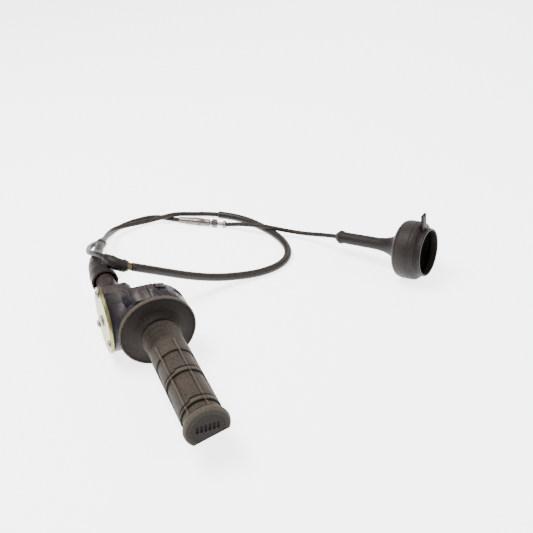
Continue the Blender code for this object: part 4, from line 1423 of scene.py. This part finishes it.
    def worn(self, point: Vector) -> tuple[Vector, bool]:
        """Presses a point onto the worn flat of the end disc, if it stands over it.

        Args:
            point: a place in millimetres from the datum's bar axis.

        Returns:
            The point, and whether it was pressed.
        """
        turn = math.radians(self.flat_turn)
        up = Vector((math.sin(turn), 0.0, math.cos(turn)))
        slope = math.radians(self.flat_slope)
        normal = up * math.cos(slope) + Vector((0.0, math.sin(slope), 0.0))
        corner = Vector((0.0, self.end, 0.0)) - self.flat_drop * up
        over = (point - corner).dot(normal)
        if over >= 0.0 or point.y > -108.0:
            return point, False
        return point - over * normal, True

    def build(self) -> list[bpy.types.Object]:
        """Builds the grip's skin.

        Returns:
            The grip.
        """
        points: list[Vector] = []
        wear_and_highlights: list[float] = []
        painted_shades: list[float] = []
        turns = [360.0 * step / self.segments for step in range(self.segments)]
        face_radii = [self.face_radius * step / self.face_rings for step in range(1, self.face_rings + 1)]
        rings = []

        def lay_point(x: float, along: float, z: float, wear_and_highlight: float, painted_shade: float) -> int:
            """Adds one place of the skin and returns its number."""
            place, pressed = self.worn(Vector((x, along, z)))
            points.append(place + Vector((0.0, 0.0, BAR_HEIGHT)))
            wear_and_highlights.append(max(wear_and_highlight, 0.45 * pressed))
            painted_shades.append(painted_shade * (1.0 - 0.7 * pressed))
            return len(points) - 1

        centre_depth, centre_shade = self.face_depth(0.0, 0.0)
        rings.append([lay_point(0.0, self.end + centre_depth, 0.0, 0.0, centre_shade)])
        for radius in face_radii:
            ring = []
            for turn in turns:
                across = radius * math.sin(math.radians(turn))
                up = radius * math.cos(math.radians(turn))
                depth, painted_shade = self.face_depth(across, up)
                # The end face's rim is painted pale, partly for wear and partly as painted highlight.
                rim = 0.4 * soft_step(radius, 14.9, 15.8)
                ring.append(lay_point(across, self.end + depth, up, rim, painted_shade))
            rings.append(ring)
        for radius, along, outside in self.stations():
            ring = []
            for turn in turns:
                angle = (turn + 180.0) % 360.0 - 180.0
                height = wear_and_highlight = painted_shade = 0.0
                if outside and radius < 17.0 and -116.0 < along < -7.0:
                    height, wear_and_highlight, painted_shade = self.relief(along, angle)
                # The end disc's rim is painted pale, partly for wear and partly as painted highlight.
                if outside and along < -116.8 and radius > 16.5:
                    wear_and_highlight = 0.85
                # Painted shade under the end disc's lip.
                if outside and -116.6 < along < -113.6:
                    painted_shade = 0.8 * soft_step(abs(along + 115.0), 1.4, 0.2)
                # Painted shade in the crease at the flange's root.
                if outside and -7.9 < along < -6.3:
                    painted_shade = 0.9
                # The flange's rim is painted pale, partly for wear and partly as painted highlight.
                if radius > 31.3:
                    wear_and_highlight = 0.8
                # Painted shade on the flange's face, darker towards the top.
                if along > -6.8 and 15.0 < radius < 31.4:
                    painted_shade = 0.58 + 0.2 * math.cos(math.radians(angle - 20.0))
                reach = max(radius + height, 0.0)
                across = reach * math.sin(math.radians(turn))
                up = reach * math.cos(math.radians(turn))
                ring.append(lay_point(across, along, up, wear_and_highlight, painted_shade))
            if radius < ON_AXIS:
                ring = ring[:1]
            rings.append(ring)
        faces = []
        for first, second in zip(rings, rings[1:]):
            for step in range(self.segments):
                after = (step + 1) % self.segments
                corners = [
                    first[step % len(first)], first[after % len(first)],
                    second[after % len(second)], second[step % len(second)],
                ]
                faces.append(list(dict.fromkeys(corners)))
        data = bpy.data.meshes.new("grip_skin")
        data.from_pydata([world_point(point) for point in points], [], [f for f in faces if len(f) > 2])
        data.validate()
        for name, values in ((WEAR_AND_HIGHLIGHT, wear_and_highlights), (PAINTED_SHADE, painted_shades)):
            attribute = data.attributes.new(name, "FLOAT", "POINT")
            attribute.data.foreach_set("value", [min(1.0, value) for value in values])
        mesh = bmesh.new()
        mesh.from_mesh(data)
        bmesh.ops.recalc_face_normals(mesh, faces=mesh.faces)
        mesh.to_mesh(data)
        mesh.free()
        return [self.adopt("grip_skin", data, self.finishes.grip, ("grip_rubber",), "grip_rubber", 50.0)]


# ---- Hard parts ----------------------------------------------------------------------------


@dataclass
class ClampHousing(SubAssembly):
    """The two castings around the bar, with the gearbox and the neck.

    Args:
        split_turn: the turn of the split between the castings, in degrees.
        lug_from: where the trimmed top lug starts, in millimetres from the split.
        skin: (radius, place) outline of the smooth skin of the gearbox's barrel.
        cavity: the same for the room inside the ring.
        bore: the same for the wire's passage.
    """

    split_turn: float = 13.0
    lug_from: float = -2.6
    skin: Outline = ((26.2, -35), (27.7, -35), (27.7, -14.4), (26.2, -14.4))
    cavity: Outline = ((0, 7.2), (20.6, 7.2), (20.6, 23.4), (0, 23.4))
    bore: Outline = ((0, 0), (3, 0), (3, 22), (0, 22))

    def solid_copy(self, node: str) -> bmesh.types.BMesh:
        """A solid's mesh in millimetres, with its corners joined.

        Args:
            node: the solid.

        Returns:
            The mesh, still in the row's own frame.
        """
        mesh = bmesh.new()
        mesh.from_mesh(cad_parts[node].data)
        bmesh.ops.scale(mesh, vec=(1 / MM, 1 / MM, 1 / MM), verts=mesh.verts)
        bmesh.ops.remove_doubles(mesh, verts=mesh.verts, dist=0.002)
        return mesh

    def web(self) -> bmesh.types.BMesh:
        """The sloping web that joins the deck to the gearbox.

        Returns:
            The mesh, with its origin on the bar's axis.
        """
        mesh = bmesh.new()
        corners = (
            (-16, 6, 30.2), (-16, 25, 30.6), (-15, 33, 27.0), (-25, 33, 27.0), (-24, 20, 23.4),
            (-16, 6, 24), (-16, 14, 20), (-20, 9, 25.5),
        )
        for corner in corners:
            mesh.verts.new(corner)
        bmesh.ops.convex_hull(mesh, input=mesh.verts)
        return mesh

    def build(self) -> None:
        """Builds both castings with their seams, trimmed lug and web."""
        split = BAR_AXIS @ Matrix.Rotation(math.radians(self.split_turn), 4, "Y")
        slant = (
            BAR_AXIS
            @ Matrix.Rotation(math.radians(49.0), 4, "Y")
            @ Matrix.Translation((0.0, 16.8, 0.0))
            @ Matrix.Rotation(math.radians(-27.0), 4, "Z")
        )
        barrel = BAR_AXIS @ Matrix.Translation((0.0, 33.0, 0.0)) @ ALONG_X
        passage = BAR_AXIS @ Matrix.Translation((-27.0, 44.0, 16.0)) @ ALONG_Y
        stand = DATUM.inverted()
        body = self.carve(
            self.solid_copy("housing_body"),
            [
                ("DIFFERENCE", block((-9.0, 11.0, 31.9), (self.lug_from, 24.0, 37.0), 0.1), split),
                ("DIFFERENCE", block((-9.0, 11.0, 32.0), (0.5, 15.6, 37.0), 0.1), split),
                ("UNION", turned(self.skin, 128), barrel),
                ("DIFFERENCE", turned(self.cavity, 96), BAR_AXIS @ ALONG_Y),
                ("DIFFERENCE", turned(self.bore, 24), passage),
                ("UNION", self.web(), BAR_AXIS),
                ("DIFFERENCE", block((-2.35, 3.0, 31.1), (-1.85, 21.0, 37.0), 0.05), BAR_AXIS),
            ],
            stand,
        )
        self.adopt("gearbox_casting", body, self.finishes.casting, ("housing_body",), "black_housing", 32.0)
        clamp = self.carve(
            self.solid_copy("clamp_half"),
            [
                ("DIFFERENCE", block((-0.5, 11.0, 32.0), (9.0, 15.6, 37.0), 0.1), split),
                ("DIFFERENCE", block((5.6, 11.0, 31.7), (9.0, 24.0, 37.0), 0.1), split),
                ("DIFFERENCE", block((-0.35, -4.6, 31.2), (0.35, 4.6, 37.0), 0.05), slant),
            ],
            stand,
        )
        self.adopt("clamp_casting", clamp, self.finishes.casting, ("clamp_half",), "black_housing", 32.0)


@dataclass
class HardParts(SubAssembly):
    """The machined and moulded parts whose solids are shown with a finish."""

    def build(self) -> None:
        """Gives every remaining solid its finish."""
        for finish, nodes in HARD_NODES.items():
            for node in nodes:
                self.dress(node, getattr(self.finishes, finish))


HARD_NODES = {
    "nylon": ("throttle_tube", "cable_drum"),
    "zinc": ("cover_plate",),
    "gasket": ("cover_gasket",),
    "steel": (
        "thrust_washer", "clamp_screw_upper", "clamp_screw_lower", "drum_axle", "drum_washer",
        "cover_screw_1", "cover_screw_2", "cover_screw_3",
    ),
    "brass": (
        "drum_nipple", "neck_adjuster", "neck_lock_nut", "inline_fitting", "cable_end_fitting",
        "wire_end_nipple",
    ),
    "wire": ("drum_wire", "wire_in_neck", "wire_end"),
    "silver": ("barrel_body", "barrel_screw", "barrel_nut"),
}


def main() -> None:
    """Builds the studio, the cables and the throttle."""
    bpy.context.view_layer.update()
    Studio().build()
    finishes = FinishShelf()
    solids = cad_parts
    boots = CableBoots(finishes)
    sleeve = boots.sleeve()
    neck = boots.neck_boot()
    joint = boots.joint_boot()
    cap = CarburettorBoot(finishes).build()
    ControlCable(finishes, node="cable_front", route=FRONT_ROUTE).build(
        [neck, sleeve, joint, solids["inline_fitting"]]
    )
    ControlCable(finishes, node="cable_middle", route=MIDDLE_ROUTE).build(
        [solids["barrel_body"], solids["barrel_screw"], solids["barrel_nut"]]
    )
    back = [CAP_MOUTH - CAP_OUTWARD.normalized() * depth for depth in (92.0, 80.6)]
    ControlCable(
        finishes,
        node="cable_rear",
        route=REAR_ROUTE + tuple(tuple(point) for point in back),
        radius=2.25,
        ease=14,
    ).build([*cap, solids["cable_end_fitting"], solids["wire_end"], solids["wire_end_nipple"]])
    GripRubber(finishes).build()
    ClampHousing(finishes).build()
    HardParts(finishes).build()


if __name__ == "__main__":
    main()
